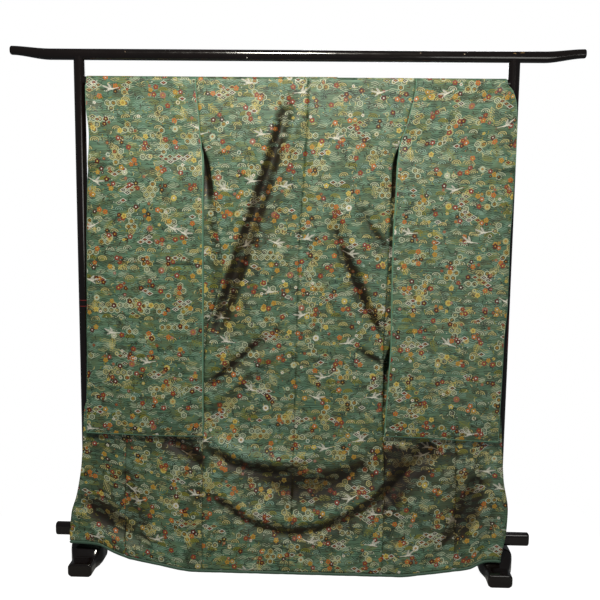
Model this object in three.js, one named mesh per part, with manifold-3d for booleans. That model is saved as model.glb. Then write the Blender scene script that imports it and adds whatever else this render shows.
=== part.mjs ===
// A furisode kimono hung by its sleeves on a black lacquered kimono stand, its back to -Y.
// Millimetres. X right, Y away from the viewer, Z up. The origin is on the floor between the feet.
import * as THREE from 'three';
import { mergeVertices } from 'three/addons/utils/BufferGeometryUtils.js';
import Module from 'manifold-3d';

const wasm = await Module();
wasm.setup();

// ---- driving dimensions ------------------------------------------------------------------------
const CLOTH = 1.5; // lined silk wall
const COLLAR_WALL = 2.2; // the collar is folded silk round a core
const SEAM = 0.3; // gap between sewn pieces
const FIT = 0.3; // gap between joined pieces of the stand

const POST_X = 667; // posts stand this far from the middle
const POST_R = 17.2;
const POST_DODGE = 21.5; // cloth in front of a post lies at least this far forward
const BAR = { z: 1640.6, half: 880.6, r: 17, endR: 13.6, lift: 11, liftRun: 125 };
const ROD = { z: 1562, r: 12.5, half: POST_X + 6 };
const LOW = { z: 111.7, half: 777, high: 21.5, deep: 12 };
const FOOT = { half: 124.5, high: 41, wide: 38.5, humpHigh: 84, humpWide: 53, humpRun: 62 };
const POST_SINK = 30; // how deep a post stands in its foot

const WRAP = ROD.r + 0.65 + CLOTH / 2; // the cloth's mid surface over the hanging bar
const COLLAR_WRAP = ROD.r + 1.4 + COLLAR_WALL / 2;
const TURN = 18; // radius of the fold where a front falls back on itself
const SMALL_TURN = 8; // and of the smaller fold beside the sleeve
const SPREAD = -TURN * Math.PI / 2; // fold position that means no fold, the front lies spread
const ARMHOLE_Z = 1395; // the sleeve is sewn to the body above this
const OPEN_SIDE_Z = 1195; // the side seam ends here, and the body's side is open up to the armhole
const CUFF_Z = 1288; // the cuff is open above this
const OKUMI_TOP = 1330;
const COLLAR_END = 800;
const NECK_BAND = 54; // how far the folded collar hangs behind the neck
const POST_SWERVE = { from: 600, to: 643 }; // cloth this far from the middle swerves round a post
const HEM_CLEAR = 1; // the roll at the hem just touches down
const ROLL = { high: 10, deep: 6.4 };
const EDGE = ROLL.high + SEAM; // a panel's cut edge above the hem line
const ROLL_CLEAR = 0.3;
const BODY_SEAM_LIFT = 2.1; // a front's edge lies this far behind the back's at the side seam
const BEHIND_SLEEVE = 3.6; // a front lies at least this far behind the sleeve beside it

// ---- the garment's lines, by height ------------------------------------------------------------
// centre: the centre-back seam; left, right: the side edges of the back; depth: y of the back
// hollow: room between back and fronts; foldL, foldR: how far in from the side each front turns back
const BODY = [
  { z: 0, centre: -3, left: -282, right: 296, depth: -70, hollow: 0, foldL: SPREAD, foldR: SPREAD },
  { z: 147, centre: 1, left: -284, right: 300, depth: -59, hollow: 0, foldL: SPREAD, foldR: SPREAD },
  { z: 278, centre: 6, left: -283, right: 300, depth: -52, hollow: 0, foldL: SPREAD, foldR: SPREAD },
  { z: 450, centre: 10, left: -281, right: 294, depth: -43, hollow: 0, foldL: SPREAD, foldR: SPREAD },
  { z: 505, centre: 11, left: -280, right: 292, depth: -41, hollow: 2, foldL: SPREAD, foldR: SPREAD },
  { z: 560, centre: 12, left: -278, right: 290, depth: -40, hollow: 8, foldL: -2, foldR: -4 },
  { z: 610, centre: 13, left: -278, right: 290, depth: -39, hollow: 15, foldL: 36, foldR: 34 },
  { z: 680, centre: 14, left: -277, right: 289, depth: -38, hollow: 24, foldL: 76, foldR: 72 },
  { z: 796, centre: 16, left: -266, right: 289, depth: -36, hollow: 34, foldL: 122, foldR: 116 },
  { z: 880, centre: 17, left: -240, right: 293, depth: -35, hollow: 36, foldL: 128, foldR: 132 },
  { z: 985, centre: 18, left: -219, right: 297, depth: -33, hollow: 38, foldL: 138, foldR: 152 },
  { z: 1091, centre: 21, left: -233, right: 299, depth: -31, hollow: 38, foldL: 170, foldR: 178 },
  { z: 1200, centre: 28, left: -245, right: 301, depth: -28, hollow: 38, foldL: 208, foldR: 208 },
  { z: 1310, centre: 34, left: -261, right: 304, depth: -25, hollow: 36, foldL: 250, foldR: 240 },
  { z: 1395, centre: 39, left: -289, right: 331, depth: -22, hollow: 33, foldL: 330, foldR: 320 },
  { z: 1449, centre: 42, left: -293, right: 348, depth: -20, hollow: 31, foldL: 380, foldR: 360 },
  { z: 1562, centre: 41, left: -303, right: 369, depth: -WRAP, hollow: 2 * WRAP, foldL: 420, foldR: 400 },
];

// how far out each front runs behind its sleeve, from the side seam, before it turns in
const RUNS = [
  { z: 680, left: 0, right: 0 }, { z: 796, left: 20, right: 26 }, { z: 880, left: 46, right: 26 },
  { z: 985, left: 66, right: 22 }, { z: 1091, left: 55, right: 22 }, { z: 1200, left: 44, right: 24 },
  { z: 1310, left: 30, right: 25 }, { z: 1338, left: 14, right: 12 }, { z: 1358, left: 0, right: 0 },
];

// widths along the cloth: front panel, okumi and collar of each side
const WIDTHS = [
  { z: 0, frontL: 249, frontR: 229, okumiL: 182, okumiR: 150, collar: 76 },
  { z: 94, frontL: 249, frontR: 229, okumiL: 176, okumiR: 163, collar: 76 },
  { z: 170, frontL: 249, frontR: 229, okumiL: 157, okumiR: 166, collar: 76 },
  { z: 276, frontL: 249, frontR: 229, okumiL: 143, okumiR: 150, collar: 76 },
  { z: 420, frontL: 249, frontR: 229, okumiL: 138, okumiR: 146, collar: 76 },
  { z: 800, frontL: 250, frontR: 232, okumiL: 136, okumiR: 138, collar: 76 },
  { z: 1000, frontL: 251, frontR: 234, okumiL: 95, okumiR: 95, collar: 70 },
  { z: 1200, frontL: 252, frontR: 236, okumiL: 42, okumiR: 42, collar: 62 },
  { z: 1330, frontL: 253, frontR: 237, okumiL: 7, okumiR: 7, collar: 58 },
  { z: 1400, frontL: 253.5, frontR: 237.5, okumiL: 0, okumiR: 0, collar: 55 },
  { z: 1562, frontL: 254, frontR: 238, okumiL: 0, okumiR: 0, collar: 55 },
];

// height of the hem above the floor, by x
const HEM = [
  { x: -720, z: 86 }, { x: -625, z: 82 }, { x: -566, z: 57 }, { x: -517, z: 40 }, { x: -419, z: 19 },
  { x: -305, z: 1 }, { x: -150, z: HEM_CLEAR }, { x: 350, z: HEM_CLEAR }, { x: 430, z: 10 },
  { x: 520, z: 23 }, { x: 575, z: 33 }, { x: 627, z: 56 }, { x: 655, z: 58 }, { x: 700, z: 53 },
];

// sleeves, by height: inner and outer edge, and the depth of the two layers
const SLEEVES = {
  left: [
    { z: 452, inner: -277, outer: -653, lip: -653 }, { z: 661, inner: -278, outer: -649, lip: -649 },
    { z: 889, inner: -278, outer: -647, lip: -647 }, { z: 1107, inner: -279, outer: -645, lip: -645 },
    { z: 1288, inner: -279, outer: -640, lip: -640 }, { z: 1395, inner: -289, outer: -635, lip: -638 },
    { z: 1501, inner: -296, outer: -643, lip: -642 }, { z: 1562, inner: -303, outer: -643, lip: -643 },
  ],
  right: [
    { z: 452, inner: 296, outer: 655, lip: 655 }, { z: 591, inner: 302, outer: 658, lip: 658 },
    { z: 773, inner: 310, outer: 662, lip: 662 }, { z: 904, inner: 309, outer: 669, lip: 669 },
    { z: 1100, inner: 310, outer: 670, lip: 670 }, { z: 1207, inner: 315, outer: 675, lip: 675 },
    { z: 1288, inner: 317, outer: 677, lip: 677 }, { z: 1360, inner: 322, outer: 679, lip: 648 },
    { z: 1395, inner: 331, outer: 679, lip: 645 }, { z: 1449, inner: 348, outer: 678, lip: 644 },
    { z: 1500, inner: 358, outer: 674, lip: 644 }, { z: 1540, inner: 366, outer: 661, lip: 644 },
    { z: 1562, inner: 369, outer: 646, lip: 644 },
  ],
};
const SLEEVE_DEPTH = [
  { z: 452, mid: -58, half: 6 }, { z: 600, mid: -54, half: 7.5 }, { z: 1000, mid: -38, half: 10.5 },
  { z: 1250, mid: -26, half: 12 }, { z: 1320, mid: -17, half: 14 }, { z: 1395, mid: -5.5, half: 16.5 },
  { z: 1562, mid: 0, half: WRAP },
];
const SLEEVE_BOTTOM = [
  { x: -653, z: 455 }, { x: -410, z: 450 }, { x: -277, z: 451 }, { x: 296, z: 463 }, { x: 410, z: 461 },
  { x: 655, z: 452 },
];

// soft folds: a run from (x0,z0) by way of (x1,z1) to (x2,z2); depth is + into the cloth, - proud of it
const FOLDS = [
  { x0: -14, z0: 1506, x1: -96, z1: 1215, x2: -236, z2: 786, width: 20, depth: 15 },
  { x0: 16, z0: 1480, x1: -58, z1: 1215, x2: -190, z2: 800, width: 26, depth: -9 },
  { x0: -60, z0: 1440, x1: -140, z1: 1215, x2: -262, z2: 850, width: 24, depth: -7 },
  { x0: 118, z0: 1130, x1: 188, z1: 930, x2: 276, z2: 772, width: 17, depth: 10 },
  { x0: 150, z0: 1190, x1: 224, z1: 960, x2: 286, z2: 830, width: 24, depth: -6 },
  { x0: 210, z0: 1175, x1: 248, z1: 1090, x2: 290, z2: 1045, width: 15, depth: 7 },
  { x0: -80, z0: 770, x1: -170, z1: 685, x2: -270, z2: 596, width: 17, depth: 10 },
  { x0: -60, z0: 720, x1: -160, z1: 640, x2: -262, z2: 548, width: 22, depth: -8 },
  { x0: 205, z0: 735, x1: 245, z1: 705, x2: 285, z2: 690, width: 14, depth: 7 },
  { x0: -268, z0: 440, x1: -140, z1: 352, x2: 40, z2: 382, width: 26, depth: -13 },
  { x0: -252, z0: 392, x1: -150, z1: 322, x2: 10, z2: 330, width: 18, depth: 11 },
  { x0: -120, z0: 318, x1: 60, z1: 232, x2: 262, z2: 362, width: 36, depth: 13 },
  { x0: -246, z0: 250, x1: -20, z1: 18, x2: 275, z2: 240, width: 19, depth: 11 },
  { x0: -260, z0: 290, x1: -10, z1: 60, x2: 300, z2: 296, width: 28, depth: -11 },
  { x0: 275, z0: 240, x1: 370, z1: 330, x2: 450, z2: 412, width: 20, depth: 9 },
  { x0: -400, z0: 438, x1: -350, z1: 400, x2: -290, z2: 348, width: 20, depth: 10 },
  { x0: -524, z0: 330, x1: -520, z1: 230, x2: -480, z2: 130, width: 24, depth: 8 },
  { x0: -670, z0: 222, x1: -560, z1: 140, x2: -450, z2: 84, width: 24, depth: 9 },
  { x0: -640, z0: 130, x1: -560, z1: 96, x2: -500, z2: 60, width: 24, depth: -8 },
  { x0: 446, z0: 440, x1: 366, z1: 336, x2: 300, z2: 246, width: 26, depth: 9 },
  { x0: 608, z0: 332, x1: 552, z1: 190, x2: 480, z2: 60, width: 24, depth: 9 },
  { x0: 640, z0: 300, x1: 610, z1: 180, x2: 560, z2: 70, width: 30, depth: -7 },
];

// ---- small maths -------------------------------------------------------------------------------
const lerp = (a, b, t) => a + (b - a) * t;
const clamp = (t) => Math.min(1, Math.max(0, t));
function smooth(a, b, x) {
  const t = clamp((x - a) / (b - a));
  return t * t * (3 - 2 * t);
}

// A smooth value from a table: rows sorted by key, a Hermite curve through column.
function track(rows, column, key = 'z') {
  const slope = rows.map((row, i) => {
    const before = rows[Math.max(0, i - 1)];
    const after = rows[Math.min(rows.length - 1, i + 1)];
    if (i === 0 || i === rows.length - 1) return 0;
    const down = (row[column] - before[column]) / (row[key] - before[key]);
    const up = (after[column] - row[column]) / (after[key] - row[key]);
    return down * up <= 0 ? 0 : 2 * down * up / (down + up);
  });
  return (at) => {
    if (at <= rows[0][key]) return rows[0][column];
    let i = 1;
    while (i < rows.length - 1 && rows[i][key] < at) i += 1;
    const a = rows[i - 1];
    const b = rows[i];
    const run = b[key] - a[key];
    const t = clamp((at - a[key]) / run);
    const square = t * t;
    const cube = square * t;
    return (2 * cube - 3 * square + 1) * a[column] + (cube - 2 * square + t) * run * slope[i - 1]
      + (3 * square - 2 * cube) * b[column] + (cube - square) * run * slope[i];
  };
}

const centreX = track(BODY, 'centre');
const depth = track(BODY, 'depth');
const hollow = track(BODY, 'hollow');
const collarWidth = track(WIDTHS, 'collar');
const hemHeight = track(HEM, 'z', 'x');
const sleeveBottom = track(SLEEVE_BOTTOM, 'z', 'x');
const sleeveMid = track(SLEEVE_DEPTH, 'mid');
const sleeveHalf = track(SLEEVE_DEPTH, 'half');
const SIDES = {
  left: {
    sign: -1, name: 'left', seam: track(BODY, 'left'), fold: track(BODY, 'foldL'), run: track(RUNS, 'left'),
    front: track(WIDTHS, 'frontL'), okumi: track(WIDTHS, 'okumiL'),
    inner: track(SLEEVES.left, 'inner'), outer: track(SLEEVES.left, 'outer'), lip: track(SLEEVES.left, 'lip'),
  },
  right: {
    sign: 1, name: 'right', seam: track(BODY, 'right'), fold: track(BODY, 'foldR'), run: track(RUNS, 'right'),
    front: track(WIDTHS, 'frontR'), okumi: track(WIDTHS, 'okumiR'),
    inner: track(SLEEVES.right, 'inner'), outer: track(SLEEVES.right, 'outer'), lip: track(SLEEVES.right, 'lip'),
  },
};

// How far the folds push the cloth at (x, z). Each is a quadratic curve, fading at its two ends.
const FOLD_STEPS = 14;
const foldRuns = FOLDS.map((f) => {
  const run = [];
  for (let i = 0; i <= FOLD_STEPS; i += 1) {
    const t = i / FOLD_STEPS;
    const s = 1 - t;
    run.push({
      x: s * s * f.x0 + 2 * s * t * f.x1 + t * t * f.x2,
      z: s * s * f.z0 + 2 * s * t * f.z1 + t * t * f.z2,
      strength: Math.min(1, 3.2 * Math.sin(Math.PI * clamp(0.04 + 0.92 * t))),
    });
  }
  return run;
});
function folds(x, z) {
  let push = 0;
  FOLDS.forEach((f, n) => {
    const run = foldRuns[n];
    let nearest = Infinity;
    let strength = 0;
    for (let i = 0; i < FOLD_STEPS; i += 1) {
      const a = run[i];
      const b = run[i + 1];
      const dx = b.x - a.x;
      const dz = b.z - a.z;
      const t = clamp(((x - a.x) * dx + (z - a.z) * dz) / (dx * dx + dz * dz));
      const d = Math.hypot(x - a.x - t * dx, z - a.z - t * dz);
      if (d < nearest) {
        nearest = d;
        strength = lerp(a.strength, b.strength, t);
      }
    }
    push += f.depth * strength * Math.exp(-((nearest / f.width) ** 2));
  });
  return push * (1 - smooth(ROD.z - 90, ROD.z - 10, z));
}

// ---- closed solids -----------------------------------------------------------------------------
function geometryOf(points, triangles) {
  const geometry = new THREE.BufferGeometry();
  geometry.setAttribute('position', new THREE.Float32BufferAttribute(points.flatMap((p) => [p.x, p.y, p.z]), 3));
  geometry.setIndex(triangles);
  return geometry;
}

// Gives a sheet of quads a thickness: both faces, and a rim wherever the sheet has an edge. Corners at
// the same place are one point. Its direction is the one that the corner states, or its faces' mean.
function thicken(quads, thickness) {
  const places = new Map();
  const mid = [];
  const stated = [];
  const indexOf = (corner) => {
    const key = corner.point.toArray().map((n) => Math.round(n * 500)).join('_');
    if (!places.has(key)) {
      places.set(key, mid.length);
      mid.push(corner.point);
      stated.push(corner.direction);
    }
    return places.get(key);
  };
  const index = quads.flatMap((quad) => {
    const [a, b, c, d] = quad.map(indexOf);
    return [a, b, c, a, c, d];
  });
  const direction = mid.map(() => new THREE.Vector3());
  const edges = new Map();
  for (let i = 0; i < index.length; i += 3) {
    const [a, b, c] = index.slice(i, i + 3);
    const face = new THREE.Vector3().subVectors(mid[b], mid[a])
      .cross(new THREE.Vector3().subVectors(mid[c], mid[a]));
    [a, b, c].forEach((k) => direction[k].add(face));
    [[a, b], [b, c], [c, a]].forEach(([p, q]) => {
      const back = `${q}_${p}`;
      if (edges.has(back)) edges.delete(back);
      else edges.set(`${p}_${q}`, [p, q]);
    });
  }
  const half = mid.map((p, i) => {
    const onBar = p.z >= ROD.z;
    const way = onBar ? new THREE.Vector3(0, p.y, p.z - ROD.z) : stated[i] ?? direction[i];
    return way.clone().normalize().multiplyScalar(thickness / 2);
  });
  const outer = mid.map((p, i) => p.clone().add(half[i]));
  const inner = mid.map((p, i) => p.clone().sub(half[i]));
  const triangles = [...index];
  for (let i = 0; i < index.length; i += 3) {
    triangles.push(index[i] + mid.length, index[i + 2] + mid.length, index[i + 1] + mid.length);
  }
  // a rim is split from the upper outer point to the lower inner one, so that two sewn rims match
  edges.forEach(([p, q]) => {
    const far = mid.length;
    if (mid[p].z > mid[q].z) triangles.push(q, p, q + far, p, p + far, q + far);
    else triangles.push(q, p, p + far, q, p + far, q + far);
  });
  return geometryOf([...outer, ...inner], triangles);
}

// Quads over a grid of (u, v). facing, 1 or -1, is the way that the sheet's outer face looks. Each quad
// starts at the corner whose diagonal lies nearest the true surface.
function grid(us, vs, place, facing, directionAt = () => undefined) {
  const corner = (u, v) => ({ point: place(u, v), direction: directionAt(u, v) });
  const points = us.map((u) => vs.map((v) => corner(u, v)));
  const quads = [];
  for (let i = 0; i < us.length - 1; i += 1) {
    for (let j = 0; j < vs.length - 1; j += 1) {
      const corners = [points[i][j], points[i + 1][j], points[i + 1][j + 1], points[i][j + 1]];
      if (facing < 0) corners.reverse();
      const middle = place((us[i] + us[i + 1]) / 2, (vs[j] + vs[j + 1]) / 2);
      const miss = [0, 1].map((k) => (
        corners[k].point.clone().lerp(corners[k + 2].point, 0.5).distanceTo(middle)));
      if (miss[1] < miss[0]) corners.push(corners.shift());
      quads.push(corners);
    }
  }
  return quads;
}

// A closed body through rings of points, capped by a point in the middle of each end ring.
function loft(rings) {
  const n = rings[0].length;
  const points = rings.flat();
  const triangles = [];
  for (let i = 0; i < rings.length - 1; i += 1) {
    for (let k = 0; k < n; k += 1) {
      const a = i * n + k;
      const b = i * n + (k + 1) % n;
      triangles.push(a, b, b + n, a, b + n, a + n);
    }
  }
  const last = (rings.length - 1) * n;
  [[0, -1], [last, 1]].forEach(([start, way]) => {
    const middle = new THREE.Vector3();
    for (let k = 0; k < n; k += 1) middle.addScaledVector(points[start + k], 1 / n);
    points.push(middle);
    for (let k = 0; k < n; k += 1) {
      const a = start + k;
      const b = start + (k + 1) % n;
      if (way > 0) triangles.push(a, b, points.length - 1);
      else triangles.push(b, a, points.length - 1);
    }
  });
  return geometryOf(points, triangles);
}

// A ring with rounded corners round a centre: a by b, squarer as power grows, in the plane of two axes.
function ring(centre, axisA, axisB, a, b, power, sides) {
  return Array.from({ length: sides }, (_, k) => {
    const t = 2 * Math.PI * (k + 0.5) / sides;
    const c = Math.cos(t);
    const s = Math.sin(t);
    return centre.clone()
      .addScaledVector(axisA, a * Math.sign(c) * Math.abs(c) ** (2 / power))
      .addScaledVector(axisB, b * Math.sign(s) * Math.abs(s) ** (2 / power));
  });
}

const X = new THREE.Vector3(1, 0, 0);
const Y = new THREE.Vector3(0, 1, 0);
const Z = new THREE.Vector3(0, 0, 1);

function solidOf(geometry) {
  const bare = mergeVertices(geometry, 1e-4);
  return new wasm.Manifold(new wasm.Mesh({
    numProp: 3,
    vertProperties: new Float32Array(bare.getAttribute('position').array),
    triVerts: new Uint32Array(bare.getIndex().array),
  }));
}
function cut(geometry, tools) {
  const solid = tools.reduce((left, tool) => left.subtract(solidOf(tool)), solidOf(geometry));
  const mesh = solid.getMesh();
  const result = new THREE.BufferGeometry();
  result.setAttribute('position', new THREE.Float32BufferAttribute(mesh.vertProperties, 3));
  result.setIndex(Array.from(mesh.triVerts));
  return result;
}

// ---- the stand ---------------------------------------------------------------------------------
const ROUND = 14; // sides of a round bar

function topBar(grow = 0) {
  const stops = [-1, -0.994, -0.97, -0.93, -0.89, -0.85, 0.85, 0.89, 0.93, 0.97, 0.994, 1];
  return loft(stops.map((t) => {
    const x = t * BAR.half;
    const end = smooth(BAR.half - BAR.liftRun, BAR.half, Math.abs(x));
    const round = Math.abs(t) === 1 ? 0.62 : 1;
    const r = lerp(BAR.r, BAR.endR, end) * round + grow;
    const centre = new THREE.Vector3(x, 0, BAR.z + BAR.lift * end);
    return ring(centre, Y, Z, r, r, 2.4, ROUND);
  }));
}

function hangingBar(grow = 0) {
  return loft([-ROD.half - grow, ROD.half + grow].map((x) => (
    ring(new THREE.Vector3(x, 0, ROD.z), Y, Z, ROD.r + grow, ROD.r + grow, 2, ROUND))));
}

function lowBar(grow = 0) {
  const stops = [-1, -0.992, -0.975, 0.975, 0.992, 1];
  return loft(stops.map((t) => {
    const round = Math.abs(t) === 1 ? 0.55 : Math.abs(t) > 0.99 ? 0.87 : 1;
    const centre = new THREE.Vector3(t * LOW.half, 0, LOW.z);
    return ring(centre, Y, Z, LOW.deep * round + grow, LOW.high * round + grow, 3.4, ROUND);
  }));
}

// A sledge foot, narrow and low at both ends, humped and wider where the post stands.
function foot(sign) {
  const stops = [-1, -0.985, -0.93, -0.75, -0.56, -0.42, -0.26, 0, 0.26, 0.42, 0.56, 0.75, 0.93, 0.985, 1];
  return loft(stops.map((t) => {
    const hump = smooth(FOOT.humpRun * 1.25, FOOT.humpRun * 0.35, Math.abs(t) * FOOT.half);
    const end = Math.abs(t) === 1 ? 0.9 : 1;
    const high = lerp(FOOT.high, FOOT.humpHigh, hump) * end;
    const wide = lerp(FOOT.wide, FOOT.humpWide, hump) * end;
    const centre = new THREE.Vector3(sign * POST_X, t * FOOT.half, high / 2);
    return ring(centre, Z, X, high / 2, wide, 5, 16).map((p) => p.setZ(p.z < 0.06 * high ? 0 : p.z));
  }));
}

function post(sign, grow = 0) {
  const low = FOOT.humpHigh - POST_SINK - grow;
  return loft([low, BAR.z - 4].map((z) => (
    ring(new THREE.Vector3(sign * POST_X, 0, z), X, Y, POST_R + grow, POST_R + grow, 2, 20))));
}

// ---- the garment's surfaces --------------------------------------------------------------------
// v runs from the hem, 0, to the top of the hanging bar, 1: the last part of it goes round the bar.
const ROUND_BAR = 0.02;
const BACK_COLUMNS = 12;
const FRONT_COLUMNS = 9; // beyond the small fold
const OKUMI_COLUMNS = 5;
function heightAt(v, hem) {
  if (v <= 1 - ROUND_BAR) return lerp(hem, ROD.z, v / (1 - ROUND_BAR));
  return ROD.z + WRAP * Math.sin((v - 1 + ROUND_BAR) / ROUND_BAR * Math.PI / 2);
}
function vAt(z) {
  return (1 - ROUND_BAR) * z / ROD.z;
}
const LOWER_ROWS = 15;
const UPPER_ROWS = 20;
const LOWER_END = vAt(520);
const ROWS = [
  ...Array.from({ length: LOWER_ROWS }, (_, i) => LOWER_END * i / LOWER_ROWS),
  ...Array.from({ length: UPPER_ROWS }, (_, i) => lerp(LOWER_END, 1 - ROUND_BAR, i / UPPER_ROWS)),
  ...[1, 2 / 3, 1 / 3, 0].map((t) => 1 - t * ROUND_BAR),
];
const rowNear = (z) => ROWS.reduce((best, v) => (Math.abs(v - vAt(z)) < Math.abs(best - vAt(z)) ? v : best));
const RIDGE_GAP = SEAM / 2 / WRAP; // half the gap over the bar, as an angle

// The back: u from the centre seam, 0, to the side edge, 1.
function backPlace(side) {
  return (u, v) => {
    const foot = lerp(0, side.seam(0), u);
    const z = heightAt(v, hemHeight(foot) + EDGE);
    const low = Math.min(z, ROD.z);
    const middle = centreX(low) + side.sign * SEAM / 2;
    const edge = side.seam(low) - side.sign * SEAM / 2;
    const x = lerp(middle, edge, u);
    if (z >= ROD.z) {
      const angle = Math.min(Math.asin(clamp((z - ROD.z) / WRAP)), Math.PI / 2 - RIDGE_GAP);
      return new THREE.Vector3(x, -WRAP * Math.cos(angle), ROD.z + WRAP * Math.sin(angle));
    }
    return new THREE.Vector3(x, depth(z) + folds(x, z), z);
  };
}

// The way a front lies in a level section: in from the side seam, round a fold, and out again.
function turned(q) {
  if (q < 0) return { inward: q, behind: 0 };
  if (q < Math.PI * TURN) {
    return { inward: TURN * Math.sin(q / TURN), behind: TURN * (1 - Math.cos(q / TURN)) };
  }
  return { inward: Math.PI * TURN - q, behind: 2 * TURN };
}

// Before that it runs out behind the sleeve and turns in round a smaller fold. share: how much of the way
// behind the sleeve it has gone; rest: what is left of s.
const smallTurn = (run) => Math.min(SMALL_TURN, run / 3);
function ranOut(s, run) {
  const r = smallTurn(run);
  if (run === 0) return { outward: 0, share: 1, behind: 0, rest: s };
  if (s < run) return { outward: s, share: Math.min(1, 2 * s / run), behind: 0, rest: 0 };
  const q = s - run;
  if (q < Math.PI * r) {
    return { outward: run + r * Math.sin(q / r), share: 1, behind: r * (1 - Math.cos(q / r)), rest: 0 };
  }
  return { outward: run, share: 1, behind: 2 * r, rest: q - Math.PI * r };
}

// A point of the front, s millimetres along the cloth from the side seam.
function frontPlace(side, s, v) {
  const hemX = side.seam(0) + side.sign * s;
  const hem = lerp(hemHeight(hemX), HEM_CLEAR, smooth(LOWER_END, vAt(800), v));
  const z = heightAt(v, hem + EDGE);
  const low = Math.min(z, ROD.z);
  const seamX = side.seam(low);
  const run = side.run(low);
  const out = ranOut(s, run);
  const start = Math.PI / 2 * (TURN + smallTurn(run)) - side.fold(low);
  const here = turned(out.rest + start);
  const from = turned(start);
  const x = seamX + side.sign * (out.outward - here.inward + from.inward);
  if (z >= ROD.z) {
    const angle = Math.min(Math.asin(clamp((z - ROD.z) / WRAP)), Math.PI / 2 - RIDGE_GAP);
    return new THREE.Vector3(x, WRAP * Math.cos(angle), ROD.z + WRAP * Math.sin(angle));
  }
  const sewn = depth(z) + BODY_SEAM_LIFT * smooth(300, 470, z);
  const aside = Math.max(0, sleeveMid(z) + sleeveHalf(z) + BEHIND_SLEEVE - sewn) * clamp(run / 12);
  const opened = smooth(OPEN_SIDE_Z - 30, OPEN_SIDE_Z + 90, z);
  const inner = Math.max(0, hollow(z) - aside - out.behind);
  const room = inner * Math.max(opened, smooth(-8, 66, out.rest) ** 0.8);
  const folded = Math.max(1 - smooth(450, 560, z), 1 - smooth(20, 130, s));
  const y = sewn + aside * out.share + out.behind + room + (here.behind - from.behind) + folds(x, z) * folded;
  const nearPost = smooth(POST_SWERVE.from, POST_SWERVE.to, Math.abs(x)) * (1 - smooth(620, 720, z));
  return new THREE.Vector3(x, lerp(y, Math.min(y, -POST_DODGE), nearPost), z);
}

// The way the front's wall faces there, from its slopes along and up the cloth.
function frontDirection(side, s, v) {
  const step = { s: 0.5, v: 0.0004 };
  const along = frontPlace(side, s + step.s, v).sub(frontPlace(side, s - step.s, v));
  const up = frontPlace(side, s, v + step.v).sub(frontPlace(side, s, v - step.v));
  return along.cross(up).multiplyScalar(side.sign);
}

function even(n) {
  return Array.from({ length: n + 1 }, (_, i) => i / n);
}

function backPanel(side) {
  return thicken(grid(even(BACK_COLUMNS), ROWS, backPlace(side), side.sign), CLOTH);
}

const OKUMI_ROW = rowNear(OKUMI_TOP);
const COLLAR_ROW = rowNear(COLLAR_END);

// Where the front's columns stand along the cloth: close at the small fold, even beyond it.
const FRONT_LAST = FRONT_COLUMNS + 4;
function frontAlong(side, column, v) {
  const z = Math.min(heightAt(v, 0), ROD.z);
  const run = Math.max(side.run(z), 24);
  const end = run + Math.max(Math.PI * smallTurn(side.run(z)), 12);
  const edge = side.front(z) - SEAM / 2;
  const stops = [SEAM + 0.1, run / 2, run, (run + end) / 2, end];
  if (column > 4) return lerp(end, edge, (column - 4) / FRONT_COLUMNS);
  const i = Math.min(Math.floor(column), 3);
  return lerp(stops[i], stops[i + 1], column - i);
}
const FRONT_STOPS = Array.from({ length: FRONT_LAST + 1 }, (_, i) => i);

function frontPanel(side) {
  const place = (column, v) => frontPlace(side, frontAlong(side, column, v), v);
  const direction = (column, v) => (
    frontDirection(side, frontAlong(side, column, v) + (column === FRONT_LAST ? SEAM / 2 : 0), v));
  return thicken(grid(FRONT_STOPS, ROWS, place, side.sign, direction), CLOTH);
}

function okumi(side) {
  const along = (u, v) => {
    const z = Math.min(heightAt(v, 0), ROD.z);
    return side.front(z) + SEAM / 2 + u * side.okumi(z);
  };
  const place = (u, v) => frontPlace(side, along(u, v), v);
  const direction = (u, v) => frontDirection(side, along(u, v) - (u === 0 ? SEAM / 2 : 0), v);
  const rows = ROWS.filter((v) => v <= OKUMI_ROW);
  return thicken(grid(even(OKUMI_COLUMNS), rows, place, side.sign, direction), CLOTH);
}

// The collar: down one front edge, round behind the neck, down the other. w runs across it. At the
// neck the run is mitred, so that its free edge ends one width below the sewn edge.
function collarAlong(side, w, v) {
  const z = Math.min(heightAt(v, 0), ROD.z);
  const okumiWidth = v <= OKUMI_ROW ? side.okumi(z) + SEAM : 0;
  return side.front(z) + okumiWidth + SEAM + w * collarWidth(z);
}
function collarPlace(side, w, v) {
  const point = frontPlace(side, collarAlong(side, w, v), v);
  const onBar = smooth(ROD.z - 60, ROD.z, point.z);
  const drop = NECK_BAND * w * smooth(vAt(1330), 1, v) ** 3;
  const quarter = COLLAR_WRAP * Math.PI / 2;
  const above = v > 1 - ROUND_BAR ? (1 - v) / ROUND_BAR * quarter : quarter + ROD.z - point.z;
  const total = Math.max(above + drop, SEAM);
  if (total < quarter) {
    const angle = total / COLLAR_WRAP;
    return new THREE.Vector3(point.x, COLLAR_WRAP * Math.sin(angle), ROD.z + COLLAR_WRAP * Math.cos(angle));
  }
  const level = ROD.z - (total - quarter);
  return new THREE.Vector3(point.x, lerp(point.y, COLLAR_WRAP, onBar), level);
}

function collar() {
  const rows = ROWS.filter((v) => v >= COLLAR_ROW);
  const across = [0, 0.1, 0.2, 0.3, 0.42, 1]; // closer where it goes round the bar
  const runs = [SIDES.left, SIDES.right].map((side) => grid(
    across, rows, (w, v) => collarPlace(side, w, v), side.sign,
    (w, v) => (v < vAt(1330) ? frontDirection(side, collarAlong(side, w, v), v) : undefined),
  ));
  const behind = (u, w) => collarPlace(SIDES.left, w, 1).lerp(collarPlace(SIDES.right, w, 1), u);
  return thicken([...runs.flat(), ...grid(even(6), across, behind, 1)], COLLAR_WALL);
}

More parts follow.
